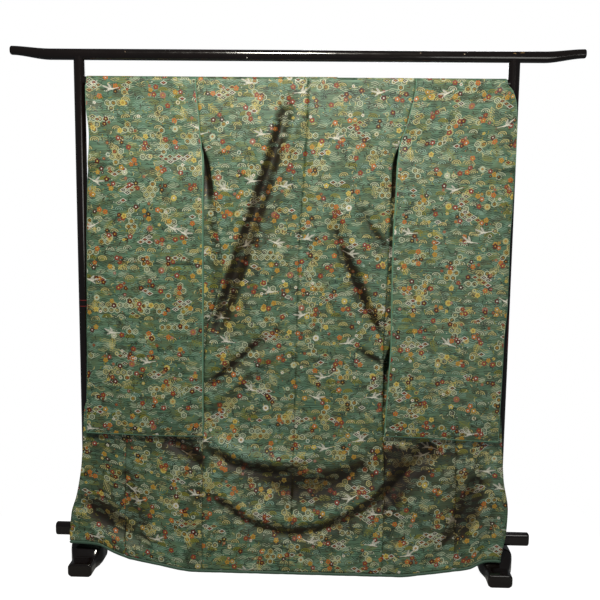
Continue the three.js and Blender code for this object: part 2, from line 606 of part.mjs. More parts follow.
// A sleeve: one width over the bar, its two layers joined at the bottom and up to the cuff. Above the
// armhole's lower end it is sewn to the body, so there it has the body's levels.
const SLEEVE_LOW = 452;
const SLEEVE_ROWS = 15;
const SLEEVE_COLUMNS = 8;
function sleeveLevels(side) {
  const bodyLevels = ROWS.map((v) => heightAt(v, hemHeight(side.seam(0)) + EDGE));
  const sewn = bodyLevels.filter((z) => z >= ARMHOLE_Z - 1 && z < ROD.z);
  const free = even(SLEEVE_ROWS).slice(1, -1).map((t) => lerp(SLEEVE_LOW, sewn[0], t));
  return [SLEEVE_LOW, SLEEVE_LOW + 9, SLEEVE_LOW + 26, ...free, ...sewn, ROD.z];
}

function sleeve(side) {
  const levels = sleeveLevels(side);
  const cuff = levels.reduce((a, b) => (Math.abs(b - CUFF_Z) < Math.abs(a - CUFF_Z) ? b : a));
  const place = (layer) => (u, level) => {
    const hanging = Math.min(level, ROD.z);
    const open = hanging > cuff;
    const round = clamp(level - ROD.z); // 0 below the bar's middle, up to 1 over its top
    const edge = open && layer > 0 ? side.lip(hanging) : side.outer(hanging);
    const outer = lerp(edge, side.lip(ROD.z), round);
    const sewn = smooth(ARMHOLE_Z - 45, ARMHOLE_Z - 1, hanging);
    const inner = lerp(side.inner(hanging), side.seam(hanging), sewn) + side.sign * SEAM / 2;
    const x = lerp(inner, outer, u);
    if (round > 0 || level === ROD.z) {
      const angle = Math.min(round * Math.PI / 2, Math.PI / 2);
      return new THREE.Vector3(x, layer * WRAP * Math.cos(angle), ROD.z + WRAP * Math.sin(angle));
    }
    const share = (level - SLEEVE_LOW) / (ARMHOLE_Z - 60 - SLEEVE_LOW);
    const z = level + (sleeveBottom(x) - SLEEVE_LOW) * (1 - smooth(0, 1, share));
    const closing = open ? 1 : Math.sqrt(1 - u ** 4);
    const foot = Math.sqrt(clamp((level - SLEEVE_LOW) / 60));
    const free = sleeveMid(level) + layer * sleeveHalf(level) * closing * foot;
    const body = depth(level) + (layer > 0 ? hollow(level) : folds(side.seam(level), level));
    const y = lerp(free, body, sewn * (1 - smooth(0, 0.3, u)));
    const beside = 1 - smooth(ROD.z - 26, ROD.z, level);
    const nearPost = smooth(POST_SWERVE.from, POST_SWERVE.to, Math.abs(x)) * beside;
    const reach = layer > 0 ? 1 - smooth(1350, 1400, level) : 1;
    const least = open && layer < 0 ? -POST_DODGE - 5 : -POST_DODGE;
    return new THREE.Vector3(x, lerp(y, Math.min(y, least), nearPost * reach), z);
  };
  const all = [...levels, ...[1 / 3, 2 / 3, 1].map((t) => ROD.z + t)];
  return thicken([
    ...grid(even(SLEEVE_COLUMNS), all, place(-1), side.sign),
    ...grid(even(SLEEVE_COLUMNS), all, place(1), -side.sign),
  ], CLOTH);
}

// The padded roll of lining along the hem, from one front edge to the other, under the panels' cut edges.
function hemRoll() {
  const edge = (side) => {
    const back = even(BACK_COLUMNS).map((u) => backPlace(side)(u, 0));
    const front = FRONT_STOPS.slice(1).map((column) => frontPlace(side, frontAlong(side, column, 0), 0));
    const last = even(OKUMI_COLUMNS).slice(1).map((u) => (
      frontPlace(side, side.front(0) + SEAM / 2 + u * side.okumi(0), 0)));
    return [...back.slice(1), ...front, ...last];
  };
  const stops = [...edge(SIDES.left).reverse(), backPlace(SIDES.right)(0, 0), ...edge(SIDES.right)];
  return loft(stops.map((stop, i) => {
    const end = i === 0 || i === stops.length - 1 ? 0.7 : 1;
    const high = (EDGE - SEAM) / 2 - ROLL_CLEAR / 2;
    const centre = stop.clone().setZ(stop.z - SEAM - high);
    return ring(centre, Y, Z, end * ROLL.deep / 2, end * high, 2.4, 8);
  }));
}

// ---- the model ---------------------------------------------------------------------------------
const SILK = { color: 0x4f8a74, roughness: 0.45, metalness: 0 };
const LINING = { color: 0x3f8270, roughness: 0.5, metalness: 0 };
const LACQUER = { color: 0x0b0708, roughness: 0.16, metalness: 0 };

const model = new THREE.Group();
function add(name, geometry, look) {
  const mesh = new THREE.Mesh(geometry, new THREE.MeshStandardMaterial(look));
  mesh.name = name;
  model.add(mesh);
}

add('bar_top', topBar(), LACQUER);
add('bar_hanging', hangingBar(), LACQUER);
add('bar_low', lowBar(), LACQUER);
[SIDES.left, SIDES.right].forEach((side) => {
  add(`post_${side.name}`, cut(post(side.sign), [topBar(FIT), hangingBar(FIT), lowBar(FIT)]), LACQUER);
  add(`foot_${side.name}`, cut(foot(side.sign), [post(side.sign, FIT), lowBar(FIT)]), LACQUER);
  add(`back_${side.name}`, backPanel(side), SILK);
  add(`front_${side.name}`, frontPanel(side), SILK);
  add(`okumi_${side.name}`, okumi(side), SILK);
  add(`sleeve_${side.name}`, sleeve(side), SILK);
});
add('collar', collar(), SILK);
add('hem_roll', hemRoll(), LINING);

export default model;
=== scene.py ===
"""A figured silk furisode on a black lacquered kimono stand: cloth shells, materials, lights and camera."""
import math

import bpy
import numpy as np
from mathutils import Matrix, Vector


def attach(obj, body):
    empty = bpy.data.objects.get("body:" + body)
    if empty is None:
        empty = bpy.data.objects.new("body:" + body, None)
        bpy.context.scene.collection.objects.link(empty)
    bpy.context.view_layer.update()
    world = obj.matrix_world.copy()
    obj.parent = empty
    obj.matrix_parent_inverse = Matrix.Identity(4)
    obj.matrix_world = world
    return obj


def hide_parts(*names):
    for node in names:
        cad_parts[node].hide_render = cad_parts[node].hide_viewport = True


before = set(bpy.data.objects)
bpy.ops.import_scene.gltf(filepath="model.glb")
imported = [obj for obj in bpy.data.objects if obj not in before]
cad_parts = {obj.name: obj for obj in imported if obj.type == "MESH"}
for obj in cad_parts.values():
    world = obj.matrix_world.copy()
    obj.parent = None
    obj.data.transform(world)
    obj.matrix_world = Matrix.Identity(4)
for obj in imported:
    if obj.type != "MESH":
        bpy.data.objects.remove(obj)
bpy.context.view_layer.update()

MM = 0.001

# ---- the garment's sizes, in millimetres ----
ROD_Z, ROD_R = 1562.0, 12.5   # the bar that the garment hangs on
CLOTH = 1.5
WRAP = ROD_R + 0.65 + CLOTH / 2
COLLAR_WALL, COLLAR_WIDE, BACK_OF_NECK = 2.2, 74.0, 130.0
COLLAR_WRAP = ROD_R + 1.4 + COLLAR_WALL / 2
TURN, SMALL_TURN = 18.0, 8.0  # radii where a front turns back at the lapel, and behind the sleeve
SPREAD = -TURN * math.pi / 2  # a front that isn't turned back at all
ARMHOLE_Z, OPEN_SIDE_Z, CUFF_Z = 1395.0, 1195.0, 1288.0
OKUMI_TOP, COLLAR_END, NECK_BAND = 1340.0, 804.0, 54.0
FRONT_GAP, SLEEVE_GAP = 2.1, 3.6  # from a front to the back width and to the sleeve beside it
EDGE = 10.3                   # a panel's lower edge above the hem line
ROUND_BAR = 0.02              # the share of a panel's length that goes round the bar
SLEEVE_LOW, SLEEVE_ROUND = 452.0, 60.0  # the sleeves' lowest point, and how high their foot is rounded
STEP = 6.0                    # spacing of the shells' points

# ---- the stand's sizes, in millimetres ----
TOP_BAR_HALF, TOP_BAR_Z, UPTURN = 880.6, 1640.6, 11.0
LOW_BAR_HALF, LOW_BAR_Z, FOOT_HALF = 777.0, 111.7, 124.4
POST_X, POST_R, POST_Z = 667.0, 17.2, (54, 1634)
POST_NEAR, POST_DODGE = (600, 643), 21.5  # where the cloth makes way for a post, and how far

BODY = np.array([  # z, centre, left, right, depth, hollow, foldL, foldR
    (0, -3, -282, 296, -70, 0, SPREAD, SPREAD), (147, 1, -284, 300, -59, 0, SPREAD, SPREAD),
    (278, 6, -283, 300, -52, 0, SPREAD, SPREAD), (450, 10, -281, 294, -43, 0, SPREAD, SPREAD),
    (505, 11, -280, 292, -41, 2, SPREAD, SPREAD), (560, 12, -278, 290, -40, 8, -2, -4),
    (610, 13, -278, 290, -39, 15, 36, 34), (680, 14, -277, 289, -38, 24, 76, 72),
    (796, 16, -266, 289, -36, 34, 122, 116), (880, 17, -240, 293, -35, 36, 128, 132),
    (985, 18, -219, 297, -33, 38, 138, 152), (1091, 21, -233, 299, -31, 38, 170, 178),
    (1200, 28, -245, 301, -28, 38, 208, 208), (1310, 34, -261, 304, -25, 36, 250, 240),
    (1395, 39, -289, 331, -22, 33, 330, 320), (1449, 42, -293, 348, -20, 31, 380, 360),
    (1562, 41, -303, 369, -WRAP, 2 * WRAP, 420, 400)])
RUNS = np.array([  # z, left, right: how far a front runs behind its sleeve
    (680, 0, 0), (796, 20, 26), (880, 46, 26), (985, 66, 22), (1091, 55, 22), (1200, 44, 24), (1310, 30, 25),
    (1338, 25, 21), (1357, 19, 16), (1376, 0, 0)])
WIDTHS = np.array([  # z, frontL, frontR, okumiL, okumiR, collar
    (0, 249, 229, 182, 150, 76), (94, 249, 229, 176, 163, 76), (170, 249, 229, 157, 166, 76),
    (276, 249, 229, 143, 150, 76), (420, 249, 229, 138, 146, 76), (800, 250, 232, 136, 138, 76),
    (1000, 251, 234, 95, 95, 70), (1200, 252, 236, 42, 42, 62), (1330, 253, 237, 7, 7, 58),
    (1400, 253.5, 237.5, 0, 0, 55), (1562, 254, 238, 0, 0, 55)])
HEM = np.array([  # x, z
    (-720, 86), (-625, 82), (-566, 57), (-517, 40), (-419, 19), (-305, 1), (-150, 1), (350, 1), (430, 10),
    (520, 23), (575, 33), (627, 56), (655, 58), (700, 53)])
SLEEVE_L = np.array([  # z, inner, outer, lip
    (452, -277, -653, -653), (661, -278, -649, -649), (889, -278, -647, -647), (1107, -279, -645, -645),
    (1288, -279, -640, -640), (1395, -289, -635, -638), (1501, -296, -643, -642), (1562, -303, -643, -643)])
SLEEVE_R = np.array([
    (452, 296, 655, 655), (591, 302, 658, 658), (773, 310, 662, 662), (904, 309, 669, 669),
    (1100, 310, 670, 670), (1207, 315, 675, 675), (1288, 317, 677, 677), (1360, 322, 679, 648),
    (1395, 331, 679, 645), (1449, 348, 678, 644), (1500, 358, 674, 644), (1540, 366, 661, 644),
    (1562, 369, 646, 644)])
SLEEVE_DEPTH = np.array([  # z, mid, half
    (452, -58, 6), (600, -54, 7.5), (1000, -38, 10.5), (1250, -26, 12), (1320, -17, 14), (1395, -5.5, 16.5),
    (1562, 0, WRAP)])
SLEEVE_BOTTOM = np.array([(-653, 455), (-410, 450), (-277, 451), (296, 463), (410, 461), (655, 452)])

FOLDS = [  # x0, z0, x1, z1, x2, z2, width, depth
    (-14, 1506, -96, 1215, -236, 786, 20, 15), (16, 1480, -58, 1215, -190, 800, 26, -9),
    (-60, 1440, -140, 1215, -262, 850, 24, -7), (118, 1130, 188, 930, 276, 772, 17, 10),
    (150, 1190, 224, 960, 286, 830, 24, -6), (210, 1175, 248, 1090, 290, 1045, 15, 7),
    (-80, 770, -170, 685, -270, 596, 17, 10), (-60, 720, -160, 640, -262, 548, 22, -8),
    (205, 735, 245, 705, 285, 690, 14, 7), (-268, 440, -140, 352, 40, 382, 26, -13),
    (-252, 392, -150, 322, 10, 330, 18, 11), (-120, 318, 60, 232, 262, 362, 36, 13),
    (-246, 250, -20, 18, 275, 240, 19, 11), (-260, 290, -10, 60, 300, 296, 28, -11),
    (275, 240, 370, 330, 450, 412, 20, 9), (-400, 438, -350, 400, -290, 348, 20, 10),
    (-524, 330, -520, 230, -480, 130, 24, 8), (-670, 222, -560, 140, -450, 84, 24, 9),
    (-640, 130, -560, 96, -500, 60, 24, -8), (446, 440, 366, 336, 300, 246, 26, 9),
    (608, 332, 552, 190, 480, 60, 24, 9), (640, 300, 610, 180, 560, 70, 30, -7)]

PAINTED_SHADE_PATCHES = [  # x, z, half width, half height, share: patches of painted shade, in hollows, under the sleeves and along creases
    (30, 280, 205, 62, 0.34), (-150, 345, 90, 26, 0.3), (-475, 414, 170, 24, 0.5), (430, 414, 170, 24, 0.5),
    (-610, 280, 60, 150, 0.34), (560, 270, 110, 150, 0.32), (310, 335, 70, 100, 0.36),
    (-205, 960, 60, 200, 0.16), (375, 385, 55, 50, 0.35), (525, 345, 60, 90, 0.32), (440, 175, 60, 60, 0.35),
    (-232, 815, 34, 45, 0.4), (230, 1000, 60, 120, 0.14), (-390, 380, 40, 60, 0.3),
    (-58, 92, 70, 22, 0.28), (100, 105, 70, 28, 0.36), (185, 160, 70, 34, 0.38), (265, 228, 60, 40, 0.36),
    (-590, 180, 85, 60, 0.35), (570, 200, 85, 80, 0.25), (-470, 1003, 180, 6, 0.3), (427, 1490, 6, 70, 0.35)]


# ---- small maths, on arrays ----
def lerp(a, b, t):
    return a + (b - a) * t


def smooth(a, b, x):
    t = np.clip((x - a) / (b - a), 0, 1)
    return t * t * (3 - 2 * t)


def track(table, column):
    """A smooth value from a table's column by its first one: a Hermite curve, level at its turns."""
    key, value = table[:, 0], table[:, column]
    rise = np.diff(value) / np.diff(key)
    slope = np.zeros(len(key))
    both = rise[:-1] * rise[1:] > 0
    slope[1:-1][both] = (2 * rise[:-1] * rise[1:])[both] / (rise[:-1] + rise[1:])[both]

    def at(x):
        x = np.clip(np.asarray(x, float), key[0], key[-1])
        i = np.clip(np.searchsorted(key, x) - 1, 0, len(key) - 2)
        run = key[i + 1] - key[i]
        t = (x - key[i]) / run
        return ((2 * t ** 3 - 3 * t ** 2 + 1) * value[i] + (t ** 3 - 2 * t ** 2 + t) * run * slope[i]
                + (3 * t ** 2 - 2 * t ** 3) * value[i + 1] + (t ** 3 - t ** 2) * run * slope[i + 1])
    return at


centre_x, depth, hollow = track(BODY, 1), track(BODY, 4), track(BODY, 5)
collar_width, hem_height, sleeve_bottom = track(WIDTHS, 5), track(HEM, 1), track(SLEEVE_BOTTOM, 1)
sleeve_mid, sleeve_half = track(SLEEVE_DEPTH, 1), track(SLEEVE_DEPTH, 2)


class Side:
    """The tracks of one side of the garment, from the tables' columns. sign is -1 at the left."""

    def __init__(self, name, sign, seam, fold, run, front, okumi, sleeve):
        self.name, self.sign = name, sign
        self.seam, self.fold, self.run = track(BODY, seam), track(BODY, fold), track(RUNS, run)
        self.front, self.okumi = track(WIDTHS, front), track(WIDTHS, okumi)
        self.inner, self.outer, self.lip = (track(sleeve, k) for k in (1, 2, 3))


LEFT = Side("left", -1, 2, 6, 1, 1, 3, SLEEVE_L)
RIGHT = Side("right", 1, 3, 7, 2, 2, 4, SLEEVE_R)


def near_curve(x, z, row):
    """Distance from (x, z) to a fold's curve, and how far along it the nearest point is, 0 to 1."""
    x0, z0, x1, z1, x2, z2 = row[:6]
    best = np.full(np.shape(x), 1e9)
    along = np.zeros(np.shape(x))
    t = np.linspace(0, 1, 19)
    px = (1 - t) ** 2 * x0 + 2 * t * (1 - t) * x1 + t ** 2 * x2
    pz = (1 - t) ** 2 * z0 + 2 * t * (1 - t) * z1 + t ** 2 * z2
    for i in range(len(t) - 1):
        dx, dz = px[i + 1] - px[i], pz[i + 1] - pz[i]
        s = np.clip(((x - px[i]) * dx + (z - pz[i]) * dz) / (dx * dx + dz * dz), 0, 1)
        d = np.hypot(x - px[i] - s * dx, z - pz[i] - s * dz)
        near = d < best
        best = np.where(near, d, best)
        along = np.where(near, (i + s) / (len(t) - 1), along)
    return best, along


def pushed(x, z, rows, spread, strength):
    """How far the folds in rows push the cloth in. strength goes by the place along a fold, 0 to 1."""
    push = np.zeros(np.shape(x))
    for row in rows:
        d, t = near_curve(x, z, row)
        push += row[7] * strength(t) * np.exp(-(d / (spread * row[6])) ** 2)
    return push


def folds(x, z):
    """The depth of all folds, full but for their ends, and none near the bar."""
    def strength(t):
        return np.minimum(1, 3.2 * np.sin(np.pi * np.clip(0.04 + 0.92 * t, 0, 1)))
    return pushed(x, z, FOLDS, 1.0, strength) * (1 - smooth(ROD_Z - 90, ROD_Z - 10, z))


def hollows(x, z, spread):
    """The depth of the folds that push in, wider by spread and fading towards their ends."""
    def strength(t):
        return np.sin(np.pi * np.clip(0.02 + 0.96 * t, 0, 1)) ** 0.6
    return pushed(x, z, [row for row in FOLDS if row[7] > 0], spread, strength)


# ---- the garment's surfaces: columns lie across the cloth, rows go up it from the hem ----
def height_at(v, hem):
    """The height at share v of a panel's length, over the lower edge at hem."""
    on_bar = np.clip((v - 1 + ROUND_BAR) / ROUND_BAR, 0, 1)
    return np.where(v <= 1 - ROUND_BAR, lerp(hem, ROD_Z, v / (1 - ROUND_BAR)),
                    ROD_Z + WRAP * np.sin(on_bar * np.pi / 2))


def v_at(z):
    """The share of a panel's length at height z, without its own hem."""
    return (1 - ROUND_BAR) * z / ROD_Z


def over_bar(place, x, z, sign):
    """place where the cloth hangs, and the bar's own round where it lies on the bar."""
    angle = np.arcsin(np.clip((z - ROD_Z) / WRAP, 0, 1))
    bar = np.stack([x, sign * WRAP * np.cos(angle), ROD_Z + WRAP * np.sin(angle)], -1)
    return np.where((z >= ROD_Z)[..., None], bar, place)


def back_place(side, u, v):
    z = height_at(v, hem_height(side.seam(0) * u) + EDGE)
    low = np.minimum(z, ROD_Z)
    x = lerp(centre_x(low), side.seam(low), u)
    place = np.stack([x, depth(low) + folds(x, low), z], -1)
    return over_bar(place, x, z, -1)


def turned(q):
    """How far in and back a point is, q past the start of the round turn at the lapel."""
    arc = np.clip(q, 0, np.pi * TURN)
    inward = np.where(q < 0, q, np.where(q < np.pi * TURN, TURN * np.sin(arc / TURN), np.pi * TURN - q))
    return inward, TURN * (1 - np.cos(arc / TURN))


def small_turn(run):
    return np.minimum(SMALL_TURN, run / 3)


def ran_out(s, run):
    """A front's run behind its sleeve and back, at s from the seam.

    Gives how far out it is, the share of the run that is behind the sleeve, how far back the small turn
    takes it, and what is left of s after the turn.
    """
    r = small_turn(run)
    safe_r, safe_run = np.maximum(r, 1e-6), np.maximum(run, 1e-6)
    q = s - run
    arc = np.clip(q / safe_r, 0, np.pi)
    outward = np.where(q < 0, s, run + r * np.sin(arc))
    share = np.clip(2 * s / safe_run, 0, 1)
    rest = np.where(run > 0, np.maximum(q - np.pi * r, 0), s)
    return np.where(run > 0, outward, 0), np.where(run > 0, share, 1), r * (1 - np.cos(arc)), rest


def front_place(side, s, v):
    """A point of a front width, okumi or collar, s across it from the side seam."""
    hem = lerp(hem_height(side.seam(0) + side.sign * s), 1, smooth(v_at(520), v_at(800), v))
    z = height_at(v, hem + EDGE)
    low = np.minimum(z, ROD_Z)
    run = side.run(low)
    outward, share, behind, rest = ran_out(s, run)
    start = np.pi / 2 * (TURN + small_turn(run)) - side.fold(low)
    here_in, here_back = turned(rest + start)
    from_in, from_back = turned(start)
    x = side.seam(low) + side.sign * (outward - here_in + from_in)
    sewn = depth(low) + FRONT_GAP * smooth(300, 470, z)
    aside = np.maximum(0, sleeve_mid(low) + sleeve_half(low) + SLEEVE_GAP - sewn) * np.clip(run / 12, 0, 1)
    opened = smooth(OPEN_SIDE_Z - 30, OPEN_SIDE_Z + 90, z)
    inner = np.maximum(0, hollow(low) - aside - behind)
    room = inner * np.maximum(opened, smooth(-8, 66, rest) ** 0.8)
    folded = np.maximum(1 - smooth(450, 560, z), 1 - smooth(20, 130, s))
    y = sewn + aside * share + behind + room + here_back - from_back + folds(x, low) * folded
    near_post = smooth(*POST_NEAR, np.abs(x)) * (1 - smooth(620, 720, z))
    y = lerp(y, np.minimum(y, -POST_DODGE), near_post)
    return over_bar(np.stack([x, y, z], -1), x, z, 1)


def rows(low, high):
    """Heights as shares of the cloth's length, closer where it goes round the bar."""
    hanging = np.linspace(low, min(high, 1 - ROUND_BAR), max(3, int((high - low) * ROD_Z / STEP)))
    if high < 1 - ROUND_BAR / 2:
        return hanging
    return np.concatenate([hanging, 1 - ROUND_BAR * np.linspace(1, 0, 9)[1:]])


def columns(width, step=STEP):
    return np.linspace(0, 1, max(4, int(width / step)) + 1)


def normals(points):
    du = np.gradient(points, axis=0)
    dv = np.gradient(points, axis=1)
    n = np.cross(du, dv)
    return n / np.maximum(np.linalg.norm(n, axis=-1, keepdims=True), 1e-9)


# ---- meshes ----
def placed(name, data):
    """A new object in the scene."""
    obj = bpy.data.objects.new(name, data)
    bpy.context.scene.collection.objects.link(obj)
    return obj


def finished(mesh):
    """The object of a mesh whose faces are in, smoothly shaded."""
    mesh.polygons.foreach_set("use_smooth", np.ones(len(mesh.polygons), bool))
    mesh.validate()
    mesh.update()
    return placed(mesh.name, mesh)


def grid(across, along):
    return np.meshgrid(across, along, indexing="ij")


def weathered(points, normal, edges=(), amount=1.0, seed=0.0):
    """Small puckers along the sewn edges and a faint unevenness all over, in millimetres."""
    x, z = points[..., 0], points[..., 2]
    calm = smooth(ROD_Z + 4, ROD_Z - 40, z)
    soft = (0.35 * np.sin(x / 31 + z / 57 + seed) * np.sin(z / 43 - x / 71 + 2 * seed)
            + 0.22 * np.sin(x / 13 - z / 90 + 3 * seed) * np.sin(z / 27 + x / 33 + seed))
    move = soft * calm * amount
    for distance, dip in edges:  # distance along the cloth to that edge, depth of the dip at it
        ripple = 0.45 + 0.3 * np.sin(z / 9.5 + seed) + 0.25 * np.sin(z / 23 + 2 * seed)
        move = move - calm * dip * np.exp(-(distance / 3.2) ** 2)
        move = move - calm * 0.5 * ripple * np.exp(-(distance / 9) ** 2)
    return points + normal * move[..., None]


def shell(name, points, cloth_uv, outer_sign, wall=CLOTH * 0.8, materials=None, edges=(), seed=0.0,
          amount=1.0, dark=0.0, bound=None):
    """A closed thin shell on a grid of points: outer face, inner face and a rim round the edge.

    edges and amount go to weathered; dark is extra painted shade for the painted fold shade. bound gives how
    many of the first columns, last columns and first rows show the lining, as a fine line.
    """
    n = normals(points) * outer_sign
    points = weathered(points, n, edges, amount, seed)
    n = normals(points) * outer_sign
    nu, nv = points.shape[:2]
    outer = (points + n * wall / 2).reshape(-1, 3)
    inner = (points - n * wall / 2).reshape(-1, 3)
    index = np.arange(nu * nv).reshape(nu, nv)
    a, b, c, d = index[:-1, :-1], index[1:, :-1], index[1:, 1:], index[:-1, 1:]
    quads = np.stack([a, b, c, d], -1).reshape(-1, 4)
    border = np.concatenate([index[:, 0], index[-1, 1:], index[:-1, -1][::-1], index[0, 1:-1][::-1]])
    following = np.roll(border, -1)
    far = nu * nv
    rim = np.stack([border, border + far, following + far, following], -1)
    if outer_sign < 0:
        quads, rim = quads[:, ::-1], rim[:, ::-1]
    faces = np.concatenate([quads, quads[:, ::-1] + far, rim])
    mesh = bpy.data.meshes.new(name)
    mesh.from_pydata((np.concatenate([outer, inner]) * MM).tolist(), [], faces.tolist())
    layer = mesh.uv_layers.new(name="Cloth")
    flat = np.concatenate([cloth_uv.reshape(-1, 2)] * 2) * MM
    loops = np.empty(len(mesh.loops), np.int32)
    mesh.loops.foreach_get("vertex_index", loops)
    layer.uv.foreach_set("vector", flat[loops].astype(np.float32).ravel())
    # painted shade, one value a point, kept in a colour attribute that the silk's material darkens by
    shade = mesh.color_attributes.new("PaintedShade", "FLOAT_COLOR", "POINT")
    tone = painted_fold_shade(points, n, dark).reshape(-1)
    colour = np.ones((2 * far, 4), np.float32)
    colour[:, :3] = np.concatenate([tone, tone])[:, None]
    shade.data.foreach_set("color", colour.ravel())
    for material in materials or (SILK, LINING):
        mesh.materials.append(material)
    slots = np.zeros(len(faces), np.int32)
    slots[len(quads):2 * len(quads)] = 1
    if bound:
        by_column = slots[:len(quads)].reshape(nu - 1, nv - 1)
        by_column[:bound[0]] = by_column[nu - 1 - bound[1]:] = 1
        by_column[:, :bound[2]] = 1
    mesh.polygons.foreach_set("material_index", slots)
    return finished(mesh)


def painted_fold_shade(points, n, dark):
    """Painted shade: how dark the silk is painted, more in creases and hollows, on faces turned down or
    aside, lower down and in the listed patches; less on ridges, as painted light.
    """
    x, z = points[..., 0], points[..., 2]
    low = np.minimum(z, ROD_Z)
    # painted shade in the creases and on their upper slopes, painted light on the ridges
    crease, slope = hollows(x, low, 1.1), 0.66 * hollows(x - 18, low + 12, 1.9)
    hollow_here = np.clip(np.maximum(crease, slope) / 12, 0, 1) - 0.3 * np.clip(-folds(x, low) / 13, 0, 1)
    # painted shade on faces turned down from the light above and on faces turned aside
    turned_down = np.clip(n[..., 2] * np.sign(n[..., 1]) * 1.4, -0.15, 0.4)
    sideways = np.clip(np.abs(n[..., 0]) - 0.08, 0, 1) * 0.7
    # painted shade: darker towards the bottom, a little less right at the hem
    lower = 0.1 * smooth(900, 300, z) - 0.09 * smooth(260, 60, z)
    tone = 0.08 + 0.8 * hollow_here + turned_down + sideways + lower
    # the listed patches of painted shade
    for at_x, at_z, half_x, half_z, share in PAINTED_SHADE_PATCHES:
        tone = tone + share * np.exp(-((x - at_x) / half_x) ** 2 - ((low - at_z) / half_z) ** 2)
    return np.clip(np.clip(tone, 0, 0.95) + dark, 0, 1) * smooth(ROD_Z + 4, ROD_Z - 30, z)


# ---- node building ----
class Graph:
    """Short ways to write the nodes of a material, or of the world, as sums."""

    def __init__(self, owner):
        owner.use_nodes = True
        self.owner, self.tree = owner, owner.node_tree
        self.tree.nodes.clear()

    def node(self, kind, **inputs):
        made = self.tree.nodes.new(kind)
        for key, value in inputs.items():
            self.put(made.inputs[key.replace("_", " ")], value)
        return made

    def put(self, socket, value):
        if isinstance(value, Term):
            self.tree.links.new(value.socket, socket)
        elif isinstance(value, bpy.types.NodeSocket):
            self.tree.links.new(value, socket)
        else:
            socket.default_value = value

    def fill(self, made, *values):
        """Puts values into a node's first sockets, and gives what it puts out."""
        for socket, value in zip(made.inputs, values):
            self.put(socket, value)
        return [Term(self, socket) for socket in made.outputs]

    def math(self, operation, *values, clamp=False):
        made = self.tree.nodes.new("ShaderNodeMath")
        made.operation, made.use_clamp = operation, clamp
        return self.fill(made, *values)[0]

    def vector(self, x, y, z=0.0):
        return self.fill(self.tree.nodes.new("ShaderNodeCombineXYZ"), x, y, z)[0]

    def parts(self, vector):
        return self.fill(self.tree.nodes.new("ShaderNodeSeparateXYZ"), vector)

    def mix(self, share, a, b, blend="MIX"):
        made = self.tree.nodes.new("ShaderNodeMix")
        made.data_type = "RGBA"
        made.blend_type = blend
        self.put(made.inputs[0], share)
        self.put(made.inputs[6], colour(a))
        self.put(made.inputs[7], colour(b))
        return made.outputs[2]

    def scaled(self, value, by, plus, clamp=False):
        return self.math("MULTIPLY_ADD", value, by, plus, clamp=clamp)

    def random(self, x, y, seed):
        """Random numbers for a cell: a function that gives the first, second, and so on."""
        mixed = self.scaled(x, 12.9898, self.scaled(y, 78.233, seed * 3.17 + 1.3))
        first = self.math("FRACT", mixed.sin() * 437.585)
        return lambda n: self.math("FRACT", first * (1.0 + 37.31 * n))

    def noise(self, vector, scale, detail=2.0, roughness=0.5, dimensions="3D"):
        made = self.node("ShaderNodeTexNoise", Vector=vector, Scale=scale, Detail=detail, Roughness=roughness)
        made.noise_dimensions = dimensions
        return Term(self, made.outputs[0])

    def pick(self, share, colours):
        """One of several colours, by a number from 0 to 1."""
        made = self.tree.nodes.new("ShaderNodeValToRGB")
        ramp = made.color_ramp
        ramp.interpolation = "CONSTANT"
        while len(ramp.elements) < len(colours):
            ramp.elements.new(0.5)
        for i, c in enumerate(colours):
            ramp.elements[i].position = i / len(colours)
            ramp.elements[i].color = colour(c)
        self.put(made.inputs[0], share)
        return made.outputs[0]

    def inside(self, distance, radius, sharp=3.0):
        """1 where distance is under radius, with an edge that is softer the smaller sharp is."""
        return self.scaled(distance, -sharp, radius * sharp + 0.5, clamp=True)

    def cloth_place(self):
        """A point's place on the flat cloth, across and along it, in metres."""
        uv = self.tree.nodes.new("ShaderNodeUVMap")
        uv.uv_map = "Cloth"
        return self.parts(uv.outputs[0])[:2]

    def bumped(self, height, distance, strength=1.0):
        """The normal of a surface with height on it, distance deep, in metres."""
        return self.node("ShaderNodeBump", Height=height, Distance=distance, Strength=strength).outputs[0]

    def shaded(self, **inputs):
        """Ends the material with a shader of these inputs."""
        shader = self.node("ShaderNodeBsdfPrincipled", **inputs)
        self.node("ShaderNodeOutputMaterial", Surface=shader.outputs[0])
        return self.owner


class Term:
    """A number in a node tree, to be added and multiplied."""

    def __init__(self, graph, socket):
        self.graph, self.socket = graph, socket


def term_method(operation, swapped=False):
    if swapped:
        return lambda term, other: term.graph.math(operation, other, term)
    return lambda term, *other: term.graph.math(operation, term, *other)


for method, operation in (
        ("__add__", "ADD"), ("__sub__", "SUBTRACT"), ("__mul__", "MULTIPLY"), ("__rmul__", "MULTIPLY"),
        ("__truediv__", "DIVIDE"), ("__abs__", "ABSOLUTE"), ("floor", "FLOOR"), ("sin", "SINE"),
        ("cos", "COSINE"), ("over", "GREATER_THAN"), ("under", "LESS_THAN"), ("max", "MAXIMUM")):
    setattr(Term, method, term_method(operation))
Term.__radd__, Term.__rsub__ = term_method("ADD", True), term_method("SUBTRACT", True)


def colour(c):
    if isinstance(c, (tuple, list)):
        return tuple(c) + (1.0,) if len(c) == 3 else tuple(c)
    return c


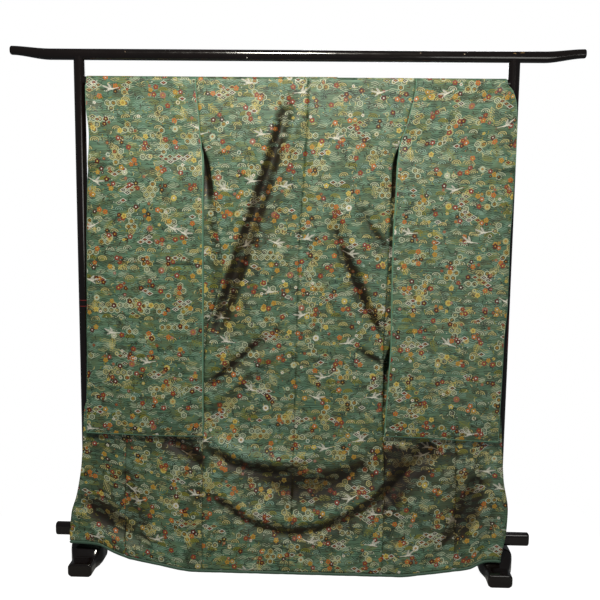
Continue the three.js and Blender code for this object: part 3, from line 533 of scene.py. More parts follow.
class Silk(Graph):
    """Green silk with small traditional figures woven in coloured yarn."""

    def __init__(self, owner):
        super().__init__(owner)
        across, along = self.cloth_place()
        self.across, self.along = across * 1000.0, along * 1000.0  # millimetres of cloth
        self.raised, self.raising = self.math("ADD", 0.0, 0.0), False

    def tone(self):
        """How much painted shade the silk gets, read from the mesh's painted shade attribute. Each use has a
        node of its own, or the shader's stack overruns.
        """
        fold = self.tree.nodes.new("ShaderNodeAttribute")
        fold.attribute_name = "PaintedShade"
        return fold.outputs["Fac"]

    def lay(self, mask, tint):
        """Yarn of a colour over what is there, where mask is 1."""
        self.ground = self.mix(mask, self.ground, tint)
        if self.raising:
            self.raised = self.raised.max(mask)

    def strew(self, mask, share, tints):
        """Yarn of one of several colours, by share from 0 to 1."""
        self.lay(mask, self.pick(share, tints))

    def layer(self, draw, *values, raising=False):
        """Draws one layer of the pattern in a node group of its own, over what is there."""
        outside, across, along, below, raised = self.tree, self.across, self.along, self.ground, self.raised
        self.tree = bpy.data.node_groups.new(draw.__name__, "ShaderNodeTree")
        for name in ("Across", "Along", "Raised", "Ground"):
            kind = "NodeSocketColor" if name == "Ground" else "NodeSocketFloat"
            self.tree.interface.new_socket(name, in_out="INPUT", socket_type=kind)
            if name in ("Raised", "Ground"):
                self.tree.interface.new_socket(name, in_out="OUTPUT", socket_type=kind)
        begin = self.tree.nodes.new("NodeGroupInput")
        self.across, self.along, self.raised = (Term(self, s) for s in list(begin.outputs)[:3])
        self.ground, self.raising = begin.outputs[3], raising
        draw(*values)
        end = self.tree.nodes.new("NodeGroupOutput")
        self.put(end.inputs[0], self.raised)
        self.put(end.inputs[1], self.ground)
        group, self.tree = self.tree, outside
        used = self.tree.nodes.new("ShaderNodeGroup")
        used.node_tree = group
        higher, self.ground = self.fill(used, across, along, raised, below)
        self.across, self.along, self.raised = across, along, higher if raising else raised

    def cells(self, wide, high, seed, stray, tilt=0.0, turn=0.0):
        """Millimetres from the middle of a cell, strayed and turned at random, and its random numbers."""
        c, s = math.cos(tilt), math.sin(tilt)
        u = (self.across * c + self.along * s) / wide + seed * 0.37
        v = (self.along * c - self.across * s) / high + seed * 0.71
        j = v.floor()
        u = u + j * 0.37
        i = u.floor()
        r = self.random(i, j, seed)
        p = self.scaled(u - i, wide, -0.5 * wide - stray) + r(1) * (2 * stray)
        q = self.scaled(v - j, high, -0.5 * high - stray) + r(2) * (2 * stray)
        if not turn and not tilt:
            return p, q, r
        angle = self.scaled(r(3), turn, -0.5 * turn - tilt)
        c, s = angle.cos(), angle.sin()
        return self.scaled(p, c, q * s), self.scaled(q, c, p * s * -1.0), r

    def length(self, p, q):
        return self.math("SQRT", self.scaled(p, p, q * q))

    def ovals(self, p, q):
        """A function that gives 1 inside an ellipse at (x, y) with half axes a and b, turned by angle."""
        def oval(x, y, a, b, angle=0.0):
            c, s = math.cos(angle), math.sin(angle)
            dx, dy = p - x, q - y
            away = self.length((dx * c + dy * s) / a, (dy * c - dx * s) / b)
            return self.inside(away, 1.0, 1.6 * min(a, b) + 1.2)
        return oval

    def waves(self, seed, wide, high, tints, share, pitch):
        """A short run of curved strokes."""
        p, q, r = self.cells(wide, high, seed, 5.0, turn=0.5)
        bent = (q + (p * 0.19 + r(4) * 6.0).sin() * 2.6) / pitch
        line = abs(bent - bent.floor() - 0.5)
        blob = self.inside(self.length(p / (wide * 0.42), q / (high * 0.4)), 1.0, 9.0)
        self.strew(self.inside(line, 0.19, 8.0) * blob * r(0).under(share) * 0.8, r(8), tints)

    def hills(self, seed):
        p, q, r = self.cells(43.0, 31.0, seed, 6.0, turn=0.3)
        q = q + 10.0
        d = self.length(p, q * 1.35)
        rings = (d * 1.05 + r(8) * 3.0).sin()
        body = self.inside(d, 16.0) * q.over(-1.0) * r(0).under(0.52)
        body = body * self.inside(abs(self.length(p, q * 1.35) - 8.0), 9.0)
        self.strew(body * 0.85, r(4), [MOSS, PINE, OLIVE, MOSS])
        line = body * self.inside(0.0 - rings, 0.15, 2.0) * 0.9
        self.strew(line, r(8), [LIME, SAND, PALE, SAND, MIST, PALE])

    def tortoiseshell(self, seed, pitch=19.0):
        root3 = math.sqrt(3.0)
        u, v = self.across / pitch + seed, self.along / (pitch * root3) + seed
        i, j = self.math("ROUND", u), self.math("ROUND", v)
        k, m = u.floor() + 0.5, v.floor() + 0.5
        ax, ay, bx, by = u - i, (v - j) * root3, u - k, (v - m) * root3
        first = (ax * ax + ay * ay).under(bx * bx + by * by)
        x, y = bx + first * (ax - bx), by + first * (ay - by)
        cx, cy = k + first * (i - k), m + first * (j - m)
        d = abs(x).max(abs(x) * 0.5 + abs(y) * 0.866)
        field = self.noise(self.vector(cx * pitch, cy * pitch * root3), 0.019, 0.0, dimensions="2D")
        r = self.random(cx, cy, seed)
        here = field.over(0.685) * r(5).under(0.88)
        self.strew(self.inside(abs(d - 0.405), 0.06, 22.0) * here, field * 4.0 - 2.4, [SAND, PALE, SAND])
        self.strew(self.inside(d, 0.3, 22.0) * here, r(7), [MOSS, OLIVE, PINE, BROWN])
        self.strew(self.inside(abs(d - 0.15), 0.05, 22.0) * here, r(8), [SAND, GOLD, PALE])

    def lozenges(self, seed, wide=27.0, high=16.0):
        u, v = self.across / wide + seed, self.along / high + seed * 1.7
        s, t = u + v, u - v
        i, j = s.floor(), t.floor()
        d = abs(s - i - 0.5).max(abs(t - j - 0.5))
        cx, cy = (i + j + 1.0) * (0.5 * wide), (i - j) * (0.5 * high)
        field = self.noise(self.vector(cx, cy * 1.8, seed), 0.0125, 0.0)
        r = self.random(i, j, seed)
        here = field.over(0.725) * r(5).under(0.9)
        self.strew(self.inside(d, 0.43, 22.0) * here, r(7), [WHITE, PALE, WHITE, SAND])
        self.strew(self.inside(d, 0.31, 22.0) * here, r(8), [WINE, BROWN, MOSS, WINE])
        self.strew(self.inside(d, 0.1, 22.0) * here, r(8), [GOLD, WHITE, ORANGE])

    def spray(self, seed, wide, high, tints, share):
        """A stem with side shoots and needles."""
        p, q, r = self.cells(wide, high, seed, 9.0, turn=2.2)
        here = r(0).under(share)
        side = abs(p + (q * 0.09 + r(8) * 4.0).sin() * 2.2)
        step = (q + side * 1.25) / 7.5
        shoot = abs(step - step.floor() - 0.5)
        stem = self.inside(side, 0.75) * self.inside(abs(q), 21.0)
        leaf = self.inside(shoot, 0.14, 9.0) * self.inside(self.length(side / 11.0, q / 20.0), 1.0, 9.0)
        self.strew(stem.max(leaf) * here, r(8), tints)

    def rounds(self, seed, share, size=6.5):
        p, q, r = self.cells(61.0, 57.0, seed, 12.0)
        here = r(0).under(share)
        d = self.length(p, q)
        self.strew(self.inside(d, size) * here * 0.7, r(8), [SAND, MIST, PALE, OLIVE])
        self.strew(self.inside(abs(d - size * 0.82), 0.7) * here, r(4), [SAND, YELLOW, WHITE, PALE])
        self.strew(self.inside(d, size * 0.3) * here, r(6), [MOSS, BROWN, RED, MOSS])

    def flower(self, p, q, radius, petals, r, tints, here, groove=0.14):
        d = self.length(p, q)
        angle = self.math("ARCTAN2", q, p)
        lobe = abs((angle * (petals / 2.0)).cos())
        reach = self.scaled(lobe, 0.3 * radius, 0.72 * radius) - d
        body = self.scaled(reach, 3.0, 0.5, clamp=True) * here
        tint = self.pick(r(8), tints)
        self.lay(body, tint)
        between = self.inside(lobe, groove, 5.0) * body * self.inside(0.0 - d, -radius * 0.3) * 0.7
        self.lay(between, self.mix(0.55, tint, WINE))
        self.strew(self.inside(d, radius * 0.3) * here, r(5), [GOLD, WHITE, GOLD, YELLOW])
        self.strew(self.inside(abs(d - radius * 0.34), 0.35) * here, r(7), [BROWN, WINE])

    def blossoms(self, seed, wide, high, radius, share, tints):
        p, q, r = self.cells(wide, high, seed, 12.0, tilt=seed * 0.4, turn=5.0)
        self.flower(p, q, radius, 5.0, r, tints, r(0).under(share))

    def asters(self, seed, share):
        p, q, r = self.cells(118.0, 104.0, seed, 22.0, turn=6.0)
        self.flower(p, q, 10.0, 12.0, r, [PINK, WHITE, SAND, YELLOW, PALE], r(0).under(share), groove=0.22)

    def cluster(self, seed, tints):
        """Three blossoms of different sizes on a short dark twig."""
        p, q, r = self.cells(84.0, 74.0, seed, 16.0, turn=6.0)
        here = r(0).under(0.74)
        oval = self.ovals(p, q)
        self.lay(oval(0.0, 0.0, 18.0, 0.9, 0.3) * here, BROWN)
        leaves = oval(8.0, -3.5, 3.8, 1.4, 0.9).max(oval(-9.0, 4.0, 3.6, 1.3, -0.6))
        self.strew(leaves * here, r(7), [MOSS, LIME, OLIVE])
        self.flower(p + 7.0, q - 1.0, 8.2, 5.0, r, tints, here)
        self.flower(p - 8.5, q + 3.6, 7.2, 5.0, lambda n: r(n + 3), tints, here)
        self.flower(p - 2.2, q - 10.5, 4.8, 5.0, lambda n: r(n + 5), tints, here * r(4).under(0.6))

    def leaves(self, seed, share):
        p, q, r = self.cells(21.0, 19.0, seed, 3.0, turn=6.3)
        here = r(0).under(share)
        oval = self.ovals(p, q)
        pair = oval(2.4, 1.0, 4.2, 1.2, 0.5).max(oval(-2.6, 1.0, 3.8, 1.1, -0.5))
        self.strew(pair * here, r(8), [MOSS, INK, OLIVE, LIME, BROWN, SAND, PINE])

    def dots(self, seed, pitch, radius, share, tints):
        p, q, r = self.cells(pitch, pitch, seed, pitch / 2 - radius)
        self.strew(self.inside(self.length(p, q), radius) * r(0).under(share), r(8), tints)

    def cranes(self, seed, wide, high, share):
        """A bird in flight, wings up and back, neck stretched."""
        p, q, r = self.cells(wide, high, seed, 22.0, turn=0.9)
        here = r(0).under(share)
        p, q = p * (r(8).over(0.5) * 1.3 - 0.65), q * 0.92  # half of them fly the other way
        oval = self.ovals(p, q)
        far = oval(-2.5, 6.5, 9.5, 2.2, 1.95)
        near = oval(-7.0, 3.2, 12.5, 2.4, 2.65).max(oval(-5.5, -3.6, 8.0, 1.6, 3.65))
        body = oval(0.0, 0.0, 8.5, 2.0, 0.15).max(oval(11.5, 2.3, 6.5, 0.9, 0.2))
        wings = far.max(near)
        feather = (p * 2.3 - q * 1.4).sin()
        self.lay(oval(-13.0, -1.4, 6.5, 0.9, 0.12).max(wings * 0.85) * here, INK)
        self.lay(wings.max(body) * self.inside(feather * 0.5, 0.28, 4.0).max(body) * here, WHITE)
        self.lay(oval(17.0, 3.5, 1.4, 1.0) * here, RED)


WHITE, PALE, SAND = (0.85, 0.83, 0.72), (0.6, 0.66, 0.46), (0.6, 0.54, 0.23)
YELLOW, GOLD, ORANGE = (0.7, 0.56, 0.13), (0.56, 0.32, 0.045), (0.58, 0.18, 0.035)
RED, WINE, BROWN = (0.3, 0.05, 0.028), (0.1, 0.012, 0.008), (0.045, 0.022, 0.01)
LIME, OLIVE = (0.28, 0.28, 0.035), (0.12, 0.12, 0.03)
MOSS, PINE, MIST = (0.014, 0.03, 0.012), (0.022, 0.065, 0.045), (0.28, 0.45, 0.35)
INK, PINK = (0.008, 0.01, 0.01), (0.42, 0.16, 0.1)
# the last colour is the dark brown of painted shade on the ground
GROUND_LIGHT, GROUND_DEEP, PAINTED_SHADE_BROWN = (0.19, 0.37, 0.24), (0.028, 0.072, 0.043), (0.036, 0.026, 0.008)


def silk():
    g = Silk(bpy.data.materials.new("figured_silk"))
    streak = g.noise(g.vector(g.across * 0.012, g.along * 0.55), 1.0, 2.0, dimensions="2D")
    cloud = g.noise(g.vector(g.across, g.along), 0.03, 3.0, dimensions="2D")
    g.ground = g.mix(g.scaled(streak, 2.4, -0.7, clamp=True), GROUND_DEEP, GROUND_LIGHT)
    g.ground = g.mix(g.scaled(cloud, 2.0, -0.75, clamp=True), g.ground, (0.14, 0.2, 0.1))
    # painted shade: the ground turns dark brown where the painted shade is high
    g.ground = g.mix(g.math("MULTIPLY", g.tone(), 1.15, clamp=True), g.ground, PAINTED_SHADE_BROWN)
    g.layer(g.waves, 1.0, 37.0, 18.0, [PALE, SAND, MIST, MIST, OLIVE], 0.6, 5.6)
    g.layer(g.waves, 2.0, 29.0, 19.0, [MOSS, INK, PINE, BROWN], 0.85, 6.3)
    g.layer(g.waves, 3.0, 43.0, 23.0, [LIME, PALE, MIST, BROWN], 0.45, 5.1)
    g.layer(g.hills, 4.0)
    g.layer(g.tortoiseshell, 0.3)
    g.layer(g.rounds, 6.0, 0.2)
    g.layer(g.spray, 7.0, 133.0, 121.0, [LIME, YELLOW, YELLOW, SAND], 0.7)
    g.layer(g.leaves, 8.0, 0.5)
    g.layer(g.spray, 9.0, 97.0, 91.0, [MOSS, OLIVE, INK], 0.55)
    g.layer(g.leaves, 10.0, 0.4)
    g.layer(g.asters, 11.0, 0.45)
    g.layer(g.lozenges, 0.6)
    g.layer(g.cluster, 12.0, [RED, ORANGE, GOLD, RED, BROWN, WINE], raising=True)
    g.layer(g.blossoms, 13.0, 63.0, 57.0, 8.4, 0.56, [ORANGE, RED, GOLD, YELLOW, WINE, RED], raising=True)
    g.layer(g.blossoms, 14.0, 51.0, 47.0, 5.0, 0.32, [WHITE, MIST, YELLOW, RED, PINK])
    g.layer(g.cranes, 15.0, 197.0, 161.0, 0.6, raising=True)
    g.layer(g.cranes, 16.0, 251.0, 213.0, 0.5)
    g.layer(g.dots, 17.0, 17.0, 1.4, 0.2, [WHITE, MIST, YELLOW, MOSS, ORANGE])
    # painted shade: all colours, figures too, darkened towards brown where the painted shade is deepest
    shade = g.mix(g.math("POWER", g.tone(), 5.0), (1.0, 1.0, 1.0), (0.2, 0.14, 0.075))
    skin = g.mix(1.0, g.ground, shade, "MULTIPLY")
    rib = (g.along * (2 * math.pi / 0.62)).sin() * (g.across * (2 * math.pi / 0.5)).sin()
    height = rib * 0.25 + g.raised * 1.4
    bump = g.bumped(height, 0.00028, 0.8)
    return g.shaded(Base_Color=skin, Normal=bump, Roughness=g.scaled(g.raised, -0.06, 0.44),
                    Specular_IOR_Level=0.55, Sheen_Weight=0.18, Sheen_Roughness=0.35,
                    Sheen_Tint=(0.9, 0.8, 0.45, 1.0))


def lining(name, share):
    """Plain teal crepe. share is how light it is: 1 for the sleeves' lining, less for the hem's, whose darker
    copy is painted shade.
    """
    g = Graph(bpy.data.materials.new(name))
    across, along = g.cloth_place()
    crepe = g.noise(g.vector(across * 1000.0, along * 400.0), 1.1, 3.0, 0.6, "2D")
    cloud = g.noise(g.vector(across, along), 9.0, 2.0, dimensions="2D")
    skin = g.mix(cloud, (0.1, 0.24, 0.17), (0.14, 0.31, 0.225))
    skin = g.mix(g.scaled(crepe, 2.0, -0.5, clamp=True), skin, (0.18, 0.38, 0.28))
    bump = g.bumped(crepe, 0.0003)
    # painted shade: a share below 1 darkens the whole copy
    skin = g.mix(1.0, skin, (share, share, share * 0.92), "MULTIPLY")
    return g.shaded(Base_Color=skin, Normal=bump, Roughness=0.48, Sheen_Weight=0.15)


def lacquer(name, marks=None):
    """Black lacquer. marks adds what is painted or worn on a piece, as (mask, colour) pairs."""
    g = Graph(bpy.data.materials.new(name))
    place = g.tree.nodes.new("ShaderNodeTexCoord").outputs["Object"]
    x, y, z = g.parts(place)
    depth_of_black = g.noise(place, 7.0, 3.0)
    skin = g.mix(depth_of_black, (0.003, 0.002, 0.002), (0.01, 0.005, 0.004))
    dust = g.noise(place, 160.0, 3.0, 0.7).over(0.74) * 0.5
    skin = g.mix(dust, skin, (0.03, 0.027, 0.024))
    rough = g.scaled(g.noise(place, 30.0, 3.0), 0.16, 0.09) + dust * 0.2
    for mask, tint in (marks(g, x, y, z) if marks else []):
        skin = g.mix(mask, skin, tint)
        rough = rough + mask * 0.3
    bump = g.bumped(g.noise(place, 45.0, 2.0), 0.0004)
    return g.shaded(Base_Color=skin, Roughness=rough, Normal=bump, Coat_Weight=0.6, Coat_Roughness=0.06)


def within(g, value, middle, half, sharp=2500.0):
    return g.inside(abs(value - middle), half, sharp)


def bar_marks(g, x, y, z):
    """Small chips and rubbed gold-brown spots along the top bar."""
    ragged = g.noise(g.vector(x * 900.0, z * 900.0, y * 900.0), 1.0, 2.0)
    front = y.under(-0.004)
    marks = []
    for at, up, half, tint in (
            (-0.146, 1.632, 0.0016, (0.7, 0.68, 0.62)), (0.044, 1.649, 0.0016, (0.35, 0.25, 0.16)),
            (0.381, 1.649, 0.0014, (0.3, 0.22, 0.15)), (0.513, 1.646, 0.0017, (0.45, 0.36, 0.26)),
            (0.664, 1.65, 0.004, (0.28, 0.17, 0.06)), (0.687, 1.652, 0.006, (0.24, 0.14, 0.05)),
            (-0.52, 1.648, 0.0014, (0.16, 0.1, 0.06))):
        spot = within(g, x, at, half) * within(g, z, up, 0.0016)
        marks.append((spot * front * ragged.over(0.45), tint))
    return marks


def post_marks(g, x, y, z):
    """Two thin red rings on the left post, a red strip down the outside of the right one."""
    rings = within(g, z, 0.858, 0.0012).max(within(g, z, 0.877, 0.0012)) * x.under(0.0)
    strip = within(g, z, 0.792, 0.052, 300.0) * x.over(0.679)
    return [(rings, (0.2, 0.012, 0.01)), (strip * 0.9, (0.3, 0.012, 0.015))]


# ---- the cloth ----
# the hem's lining is the same crepe darkened as painted shade
SILK, LINING, SHADED_HEM_LINING = silk(), lining("teal_lining", 1.0), lining("shaded_hem_lining", 0.4)
V_TOP = rows(0.0, 1.0)
V_OKUMI = rows(0.0, float(v_at(OKUMI_TOP)))
V_COLLAR = rows(float(v_at(COLLAR_END)), 1.0)


def length_of(v):
    """Millimetres up the cloth, also where it goes round the bar."""
    return np.where(v <= 1 - ROUND_BAR, v / (1 - ROUND_BAR) * ROD_Z,
                    ROD_Z + (v - 1 + ROUND_BAR) / ROUND_BAR * WRAP * np.pi / 2)


CUT = {  # a panel's place across the pattern, how far each side's is from there, its place along it, seed
    "back": (500.0, 0, 40.0, 2.0), "front": (1500.0, 290, 700.0, 5.0), "okumi": (2500.0, 90, 1300.0, 8.0),
    "sleeve": (4800.0, 450, 2100.0, 14.0)}


def panel(part, side, points, across, along, edges, **named):
    """The shell of a panel, from its points and their places across and along the flat cloth."""
    from_side, apart, from_end, seed = CUT[part]
    flat = np.stack([side.sign * across + (from_side + side.sign * apart),
                     np.broadcast_to(along, across.shape) + from_end], -1)
    name = f"silk_{part}_{side.name}"
    return shell(name, points, flat, side.sign, edges=edges, seed=seed + side.sign, **named)


def back_panel(side):
    u, v = grid(columns(300), V_TOP)
    points = back_place(side, u, v)
    low = np.minimum(height_at(v, 10.0), ROD_Z)
    wide = np.abs(side.seam(low) - centre_x(low))
    return panel("back", side, points, wide * u, length_of(v), ((u * wide, 1.5), ((1 - u) * wide, 1.1)))


def front_panel(side):
    """A front width, with painted shade where it shows in the slit behind the sleeve."""
    u, v = grid(columns(330, 5.0), V_TOP)
    low = np.minimum(height_at(v, 0.0), ROD_Z)
    wide = side.front(low)
    fold_share = 0.42  # of the columns stand close, at the small fold
    s = np.where(u < fold_share, u / fold_share * 110, lerp(110, wide, (u - fold_share) / (1 - fold_share)))
    points = front_place(side, s + 0.05, v)
    # painted shade near the side seam, deepest in the open slit
    open_slit = smooth(1195, 1235, low) * smooth(1378, 1325, low) * smooth(680, 800, low)
    painted_slit_shade = smooth(70, 40, s) * (0.3 + open_slit)
    return panel("front", side, points, s, length_of(v), ((s, 1.0), (wide - s, 1.1)), amount=0.8, dark=painted_slit_shade)


def okumi(side):
    u, v = grid(columns(150, 5.0), V_OKUMI)
    z = np.minimum(height_at(v, 0.0), ROD_Z)
    s = u * np.maximum(side.okumi(z), 2.0)
    points = front_place(side, side.front(z) + s, v)
    return panel("okumi", side, points, s, length_of(v), ((s, 1.1),), amount=0.8)


def collar_place(side, w, v):
    """A point of the collar, w across it. Behind the neck it lies over the bar."""
    z = np.minimum(height_at(v, 0.0), ROD_Z)
    okumi_width = np.where(v <= v_at(OKUMI_TOP), np.maximum(side.okumi(z), 0), 0)
    point = front_place(side, side.front(z) + okumi_width + 0.3 + w * collar_width(z), v)
    on_bar = smooth(ROD_Z - 60, ROD_Z, point[..., 2])
    drop = NECK_BAND * w * smooth(v_at(1330), 1, v) ** 3
    quarter = COLLAR_WRAP * np.pi / 2
    above = np.where(v > 1 - ROUND_BAR, (1 - v) / ROUND_BAR * quarter, quarter + ROD_Z - point[..., 2])
    total = np.maximum(above + drop, 0.3)
    angle = total / COLLAR_WRAP
    round_y, round_z = COLLAR_WRAP * np.sin(angle), ROD_Z + COLLAR_WRAP * np.cos(angle)
    on = total < quarter
    y = np.where(on, round_y, lerp(point[..., 1], COLLAR_WRAP, on_bar))
    return np.stack([point[..., 0], y, np.where(on, round_z, ROD_Z - (total - quarter))], -1)


def collar():
    w, v = grid(columns(COLLAR_WIDE, 4.0), V_COLLAR)
    left, right = collar_place(LEFT, w, v), collar_place(RIGHT, w, v)
    n = 20  # steps behind the neck
    t = np.linspace(0, 1, n + 1)[1:-1]
    middle = lerp(left[:, -1:, :], right[:, -1:, :], t[None, :, None])
    points = np.concatenate([left, middle, right[:, ::-1]], axis=1)
    up = length_of(v)
    neck = up[:, -1:] + BACK_OF_NECK * t[None, :]
    run = np.concatenate([up, neck, 2 * up[:, -1:] + BACK_OF_NECK - up[:, ::-1]], axis=1)
    across = np.concatenate([w, np.repeat(w[:, :1], n - 1, 1), w], axis=1) * COLLAR_WIDE
    return shell("silk_collar", points, np.stack([across + 3600, run], -1), -1, wall=2.0,
                 materials=(SILK, SILK), edges=((across, 0.9),), seed=11.0, amount=0.5)


def sleeve(side):
    """A bag whose rows go up the nearer layer, over the bar and down the farther one."""
    low = SLEEVE_LOW + SLEEVE_ROUND * np.linspace(0, 1, 14) ** 2
    hanging = np.concatenate([low, np.linspace(SLEEVE_LOW + SLEEVE_ROUND, ROD_Z, 175)[1:]])
    lift = np.linspace(0, 1, 9)[1:]
    level = np.concatenate([hanging, ROD_Z + lift, (ROD_Z + lift[::-1])[1:], hanging[::-1]])
    layer = np.concatenate([-np.ones(len(hanging) + 8), np.ones(len(hanging) + 7)])
    path = np.concatenate([hanging, ROD_Z + lift * WRAP * 1.57])
    path = np.concatenate([path, 2 * path[-1] - path[::-1][1:]])
    u = np.concatenate([[0], np.linspace(0.008, 0.9, 49), 1 - 0.1 * (1 - np.linspace(0, 1, 16)[1:]) ** 2])
    u, level = grid(u, level)
    layer = np.broadcast_to(layer, u.shape)
    down = np.minimum(level, ROD_Z)
    round_share = np.clip(level - ROD_Z, 0, 1)
    opened = smooth(CUFF_Z, CUFF_Z + 26, down)
    edge = np.where(layer > 0, lerp(side.outer(down), side.lip(down), opened), side.outer(down))
    outer = lerp(edge, side.lip(ROD_Z), round_share)
    sewn = smooth(ARMHOLE_Z - 45, ARMHOLE_Z - 1, down)
    inner = lerp(side.inner(down), side.seam(down), sewn)
    x = lerp(inner, outer, u)
    share = (level - SLEEVE_LOW) / (ARMHOLE_Z - 60 - SLEEVE_LOW)
    z = level + (sleeve_bottom(x) - SLEEVE_LOW) * (1 - smooth(0, 1, share))
    closing = lerp(np.sqrt(np.clip(1 - u ** 4, 0, 1)), 1, opened)
    foot = np.sqrt(np.clip((level - SLEEVE_LOW) / SLEEVE_ROUND, 0, 1))
    free = sleeve_mid(level) + layer * sleeve_half(level) * closing * foot
    body = depth(down) + np.where(layer > 0, hollow(down), folds(side.seam(down), down))
    y = lerp(free, body, sewn * (1 - smooth(0, 0.3, u)))
    near_post = smooth(*POST_NEAR, np.abs(x)) * (1 - smooth(ROD_Z - 26, ROD_Z, level))
    reach = np.where(layer > 0, 1 - smooth(1350, 1400, level), 1)
    least = np.where(layer < 0, lerp(-POST_DODGE, -POST_DODGE - 5, opened), -POST_DODGE)
    y = lerp(y, np.minimum(y, least), near_post * reach)
    y = y + np.where(layer < 0, -1.0, 0.6) * SLEEVE_CREASE[side.name](x, z)
    angle = round_share * np.pi / 2
    bar = np.stack([x, layer * WRAP * np.cos(angle), ROD_Z + WRAP * np.sin(angle)], -1)
    points = np.where((level >= ROD_Z)[..., None], bar, np.stack([x, y, z], -1))
    wide = np.abs(outer - inner)
    return panel("sleeve", side, points, wide * u, path, ((u * wide, 0.9),), amount=1.3, bound=(1, 3, 3))


def ridge(distance, width):
    return np.exp(-(distance / width) ** 2)


SLEEVE_CREASE = {  # storage creases and the tuck that was sewn to shorten the right shoulder
    "left": lambda x, z: (1.6 * ridge(z - 1004 + 0.012 * x, 4) - 1.0 * ridge(z - 992 + 0.012 * x, 9)
                          + 1.8 * ridge(z - 1330 + 0.2 * x, 22) * smooth(-560, -600, x)),
    "right": lambda x, z: (1.2 * ridge(z - 1008, 5) + 2.6 * ridge(x - 398 + 0.02 * (z - 1500), 4)
                           * smooth(1395, 1440, z) * smooth(1560, 1530, z)
                           - 2.0 * ridge(x - 660, 10) * smooth(1290, 1330, z)),
}


def hem_roll():
    """The padded roll of lining under the panels' lower edges, in one run from front edge to front edge."""
    def edge_points(side):
        u = np.linspace(0, 1, 61)
        back = back_place(side, u, np.zeros(61))
        s = np.linspace(0, float(side.front(0) + side.okumi(0)), 90)[1:]
        return np.concatenate([back[1:], front_place(side, s, np.zeros(89))])
    middle = back_place(RIGHT, np.zeros(1), np.zeros(1))
    line = np.concatenate([edge_points(LEFT)[::-1], middle, edge_points(RIGHT)])
    run = np.concatenate([[0], np.cumsum(np.linalg.norm(np.diff(line, axis=0), axis=1))])
    n = 14  # sides of a ring
    turn = np.linspace(0, 2 * np.pi, n, endpoint=False)
    puff = 1 + 0.05 * np.sin(run / 17) + 0.04 * np.sin(run / 6.3)
    puff[[0, -1]] = 0.55
    deep, high = 3.1 * puff, 4.9 * np.minimum(puff, 1.03)
    ring = np.stack([np.zeros((len(line), n)), np.cos(turn) * deep[:, None],
                     np.sin(turn) * high[:, None] - 5.0], -1)
    points = line[:, None, :] + ring
    points[..., 2] = np.maximum(points[..., 2], 1.2)
    strip = 0.002  # metres of cloth round each side of a ring
    faces, uvs = [], []
    for i in range(len(line) - 1):
        for k in range(n):
            m = (k + 1) % n
            faces.append((i * n + k, (i + 1) * n + k, (i + 1) * n + m, i * n + m))
            a, b = run[i] * MM, run[i + 1] * MM
            uvs += [(a, k * strip), (b, k * strip), (b, (k + 1) * strip), (a, (k + 1) * strip)]
    last = (len(line) - 1) * n
    faces += [list(range(n)), list(range(last, last + n))[::-1]]
    uvs += [(0.0, k * strip) for k in range(n)] * 2
    # the roll takes the lining copy darkened as painted shade
    return solid("hem_lining_roll", points.reshape(-1, 3), faces, SHADED_HEM_LINING, uvs)


def solid(name, vertices, faces, material, uvs=None, sharp=None):
    mesh = bpy.data.meshes.new(name)
    mesh.from_pydata((np.asarray(vertices) * MM).tolist(), [], [list(map(int, f)) for f in faces])
    if uvs is not None:
        mesh.uv_layers.new(name="Cloth").uv.foreach_set("vector", np.array(uvs, np.float32).ravel())
    mesh.materials.append(material)
    obj = finished(mesh)
    if sharp is not None:
        mesh.set_sharp_from_angle(angle=sharp)
    return obj


# ---- the stand ----
RING_SIDES = 48


def lofted(name, rings, material):
    """A closed body through rings of points, millimetres."""
    rings = np.asarray(rings)
    m, n = rings.shape[:2]
    faces = [(i * n + k, i * n + (k + 1) % n, (i + 1) * n + (k + 1) % n, (i + 1) * n + k)
             for i in range(m - 1) for k in range(n)]
    faces += [list(range(n))[::-1], list(range((m - 1) * n, m * n))]
    return solid(name, rings.reshape(-1, 3), faces, material, sharp=0.7)


def superellipse(a, b, power):
    t = 2 * np.pi * (np.arange(RING_SIDES) + 0.5) / RING_SIDES
    c, s = np.cos(t), np.sin(t)
    return a * np.sign(c) * np.abs(c) ** (2 / power), b * np.sign(s) * np.abs(s) ** (2 / power)


def across_x(x, z, a, b, power):
    """A ring in the plane across X: a along Y, b along Z."""
    p, q = superellipse(a, b, power)
    return np.stack([np.full(p.shape, x), p, z + q], -1)


def capped(half, soft, middle):
    """Places along a bar, both ends rounded over soft, and the share of the full section at each."""
    t = np.sin(np.linspace(0, np.pi / 2, 7))
    out = half - soft + soft * t
    end = np.sqrt(np.clip(1 - t ** 2, 0, 1)) * 0.35 + 0.65
    share = np.concatenate([end[::-1], np.ones(len(middle)), end])
    return np.concatenate([-out[::-1], middle, out]), share


def top_bar():
    tips = np.linspace(-873, -750, 26)
    x, share = capped(TOP_BAR_HALF, 5.0, np.concatenate([tips, np.linspace(-700, 700, 29), -tips[::-1]]))
    end = smooth(TOP_BAR_HALF - 125, TOP_BAR_HALF, np.abs(x))
    r = lerp(17.0, 13.6, end) * share
    rings = [across_x(at, TOP_BAR_Z + UPTURN * up, half, half, 2.4) for at, up, half in zip(x, end, r)]
    return lofted("lacquer_bar_top", rings, lacquer("lacquer_top", bar_marks))


def straight_bar(name, half, soft, z, a, b, power):
    x, share = capped(half, soft, np.linspace(-half + soft * 2, half - soft * 2, 12))
    return lofted(name, [across_x(at, z, a * k, b * k, power) for at, k in zip(x, share)], BLACK)


def post(side):
    rings = []
    p, q = superellipse(POST_R, POST_R, 2.0)
    for z in np.linspace(*POST_Z, 40):
        rings.append(np.stack([side.sign * POST_X + p, q, np.full(p.shape, z)], -1))
    return lofted(f"lacquer_post_{side.name}", rings, POSTS)


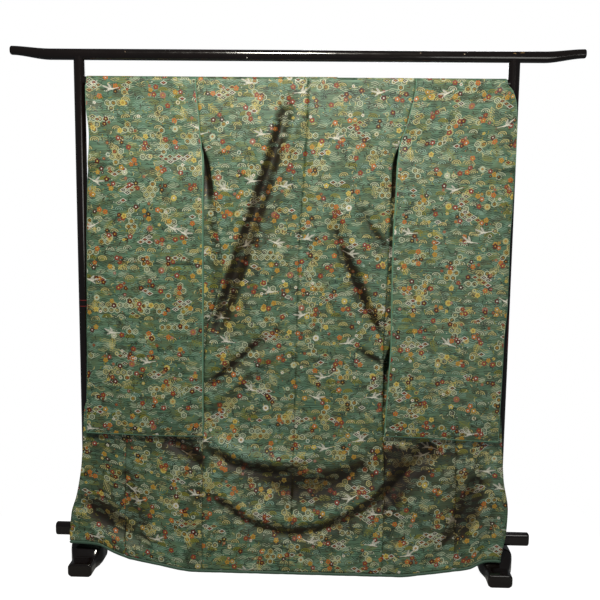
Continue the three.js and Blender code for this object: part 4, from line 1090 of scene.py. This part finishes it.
def foot(side):
    """A sledge foot, narrow and low at both ends, humped and wider where the post stands."""
    y, share = capped(FOOT_HALF, 3.5, np.linspace(-119, 119, 61))
    rings = []
    for at, k in zip(y, lerp(1, share, 0.5)):
        hump = smooth(77.5, 21.7, abs(at))
        high, wide = lerp(41, 84, hump) * k, lerp(38.5, 53, hump) * k
        p, q = superellipse(high / 2, wide, 5)
        z = high / 2 + p
        z = np.where(z < 0.05 * high, 0.2, z)  # the sole is flat, just above the floor
        rings.append(np.stack([side.sign * POST_X + q, np.full(p.shape, at), z], -1))
    return lofted(f"lacquer_foot_{side.name}", rings, BLACK)


# ---- assembly ----
BLACK = lacquer("lacquer_black")
POSTS = lacquer("lacquer_posts", post_marks)


def set_piece(obj, nodes):
    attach(obj, "root")
    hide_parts(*nodes)


def cloth_piece(obj, node):
    """A sheet. What it shows is half the surface of its thin closed shell."""
    set_piece(obj, [node])


for side in (LEFT, RIGHT):
    cloth_piece(back_panel(side), f"back_{side.name}")
    cloth_piece(front_panel(side), f"front_{side.name}")
    cloth_piece(okumi(side), f"okumi_{side.name}")
    cloth_piece(sleeve(side), f"sleeve_{side.name}")
    set_piece(post(side), [f"post_{side.name}"])
    set_piece(foot(side), [f"foot_{side.name}"])
cloth_piece(collar(), "collar")
set_piece(hem_roll(), ["hem_roll"])
set_piece(top_bar(), ["bar_top"])
hanging_bar = straight_bar("lacquer_bar_hanging", 673.0, 1.0, ROD_Z, ROD_R, ROD_R, 2.0)
set_piece(hanging_bar, ["bar_hanging"])
low_bar = straight_bar("lacquer_bar_low", LOW_BAR_HALF, 6.0, LOW_BAR_Z, 12.0, 21.5, 3.4)
set_piece(low_bar, ["bar_low"])


# ---- floor, light and camera ----
def floor_material():
    """Pale, and lit by itself only for the camera."""
    g = Graph(bpy.data.materials.new("pale_floor"))
    seen = g.tree.nodes.new("ShaderNodeLightPath").outputs["Is Camera Ray"]
    return g.shaded(Base_Color=(0.3, 0.3, 0.3, 1.0), Roughness=0.9, Emission_Color=(1.0, 1.0, 1.0, 1.0),
                    Emission_Strength=g.math("MULTIPLY", seen, 0.97))


def floor():
    corners = [(-1.1, -0.5, 0), (1.1, -0.5, 0), (1.1, 0.6, 0), (-1.1, 0.6, 0)]
    mesh = bpy.data.meshes.new("floor")
    mesh.from_pydata(corners, [], [(0, 1, 2, 3)])
    mesh.materials.append(floor_material())
    return placed("floor", mesh)


def area_light(name, place, aim, size, power, tint):
    light = bpy.data.lights.new(name, "AREA")
    light.shape = "DISK"
    light.size, light.energy, light.color = size, power, tint
    obj = placed(name, light)
    obj.location = place
    obj.rotation_euler = (Vector(aim) - Vector(place)).to_track_quat("-Z", "Y").to_euler()


def surroundings():
    """White where the camera looks, and a faint even light everywhere else."""
    g = Graph(bpy.data.worlds.new("pale"))
    seen = g.tree.nodes.new("ShaderNodeLightPath").outputs["Is Camera Ray"]
    white = g.node("ShaderNodeBackground", Color=(1.0, 1.0, 1.0, 1.0), Strength=1.0)
    faint = g.node("ShaderNodeBackground", Color=(0.9, 0.96, 1.0, 1.0), Strength=0.1)
    both = g.node("ShaderNodeMixShader", Fac=seen)
    g.put(both.inputs[1], faint.outputs[0])
    g.put(both.inputs[2], white.outputs[0])
    g.node("ShaderNodeOutputWorld", Surface=both.outputs[0])
    return g.owner


def camera(place, heading, tilt, roll, lens):
    """Looks along +Y but for heading, to the left, tilt, upwards, and roll, all in degrees."""
    data = bpy.data.cameras.new("camera")
    data.sensor_width, data.lens = 36.0, lens
    obj = placed("camera", data)
    turns = ((heading, "Z"), (90.0 + tilt, "X"), (roll, "Z"))
    heading, tilt, roll = (Matrix.Rotation(math.radians(angle), 4, axis) for angle, axis in turns)
    obj.matrix_world = Matrix.Translation(place) @ heading @ tilt @ roll
    return obj


floor()
area_light("key", (-0.15, -1.8, 2.8), (0.05, 0.0, 0.95), 0.5, 49.0, (1.0, 0.96, 0.84))
area_light("fill", (1.3, -3.2, 1.1), (0.0, 0.0, 0.4), 1.2, 10.0, (1.0, 0.98, 0.92))
area_light("back", (0.6, 2.6, 2.4), (0.0, 0.0, 0.9), 1.4, 26.0, (1.0, 1.0, 1.0))

bpy.context.scene.world = surroundings()
bpy.context.scene.view_settings.view_transform = "Standard"
bpy.context.scene.camera = camera(
    place=(0.118276, -2.8, 1.266044), heading=1.94473, tilt=-7.70993, roll=0.6344, lens=53.47)
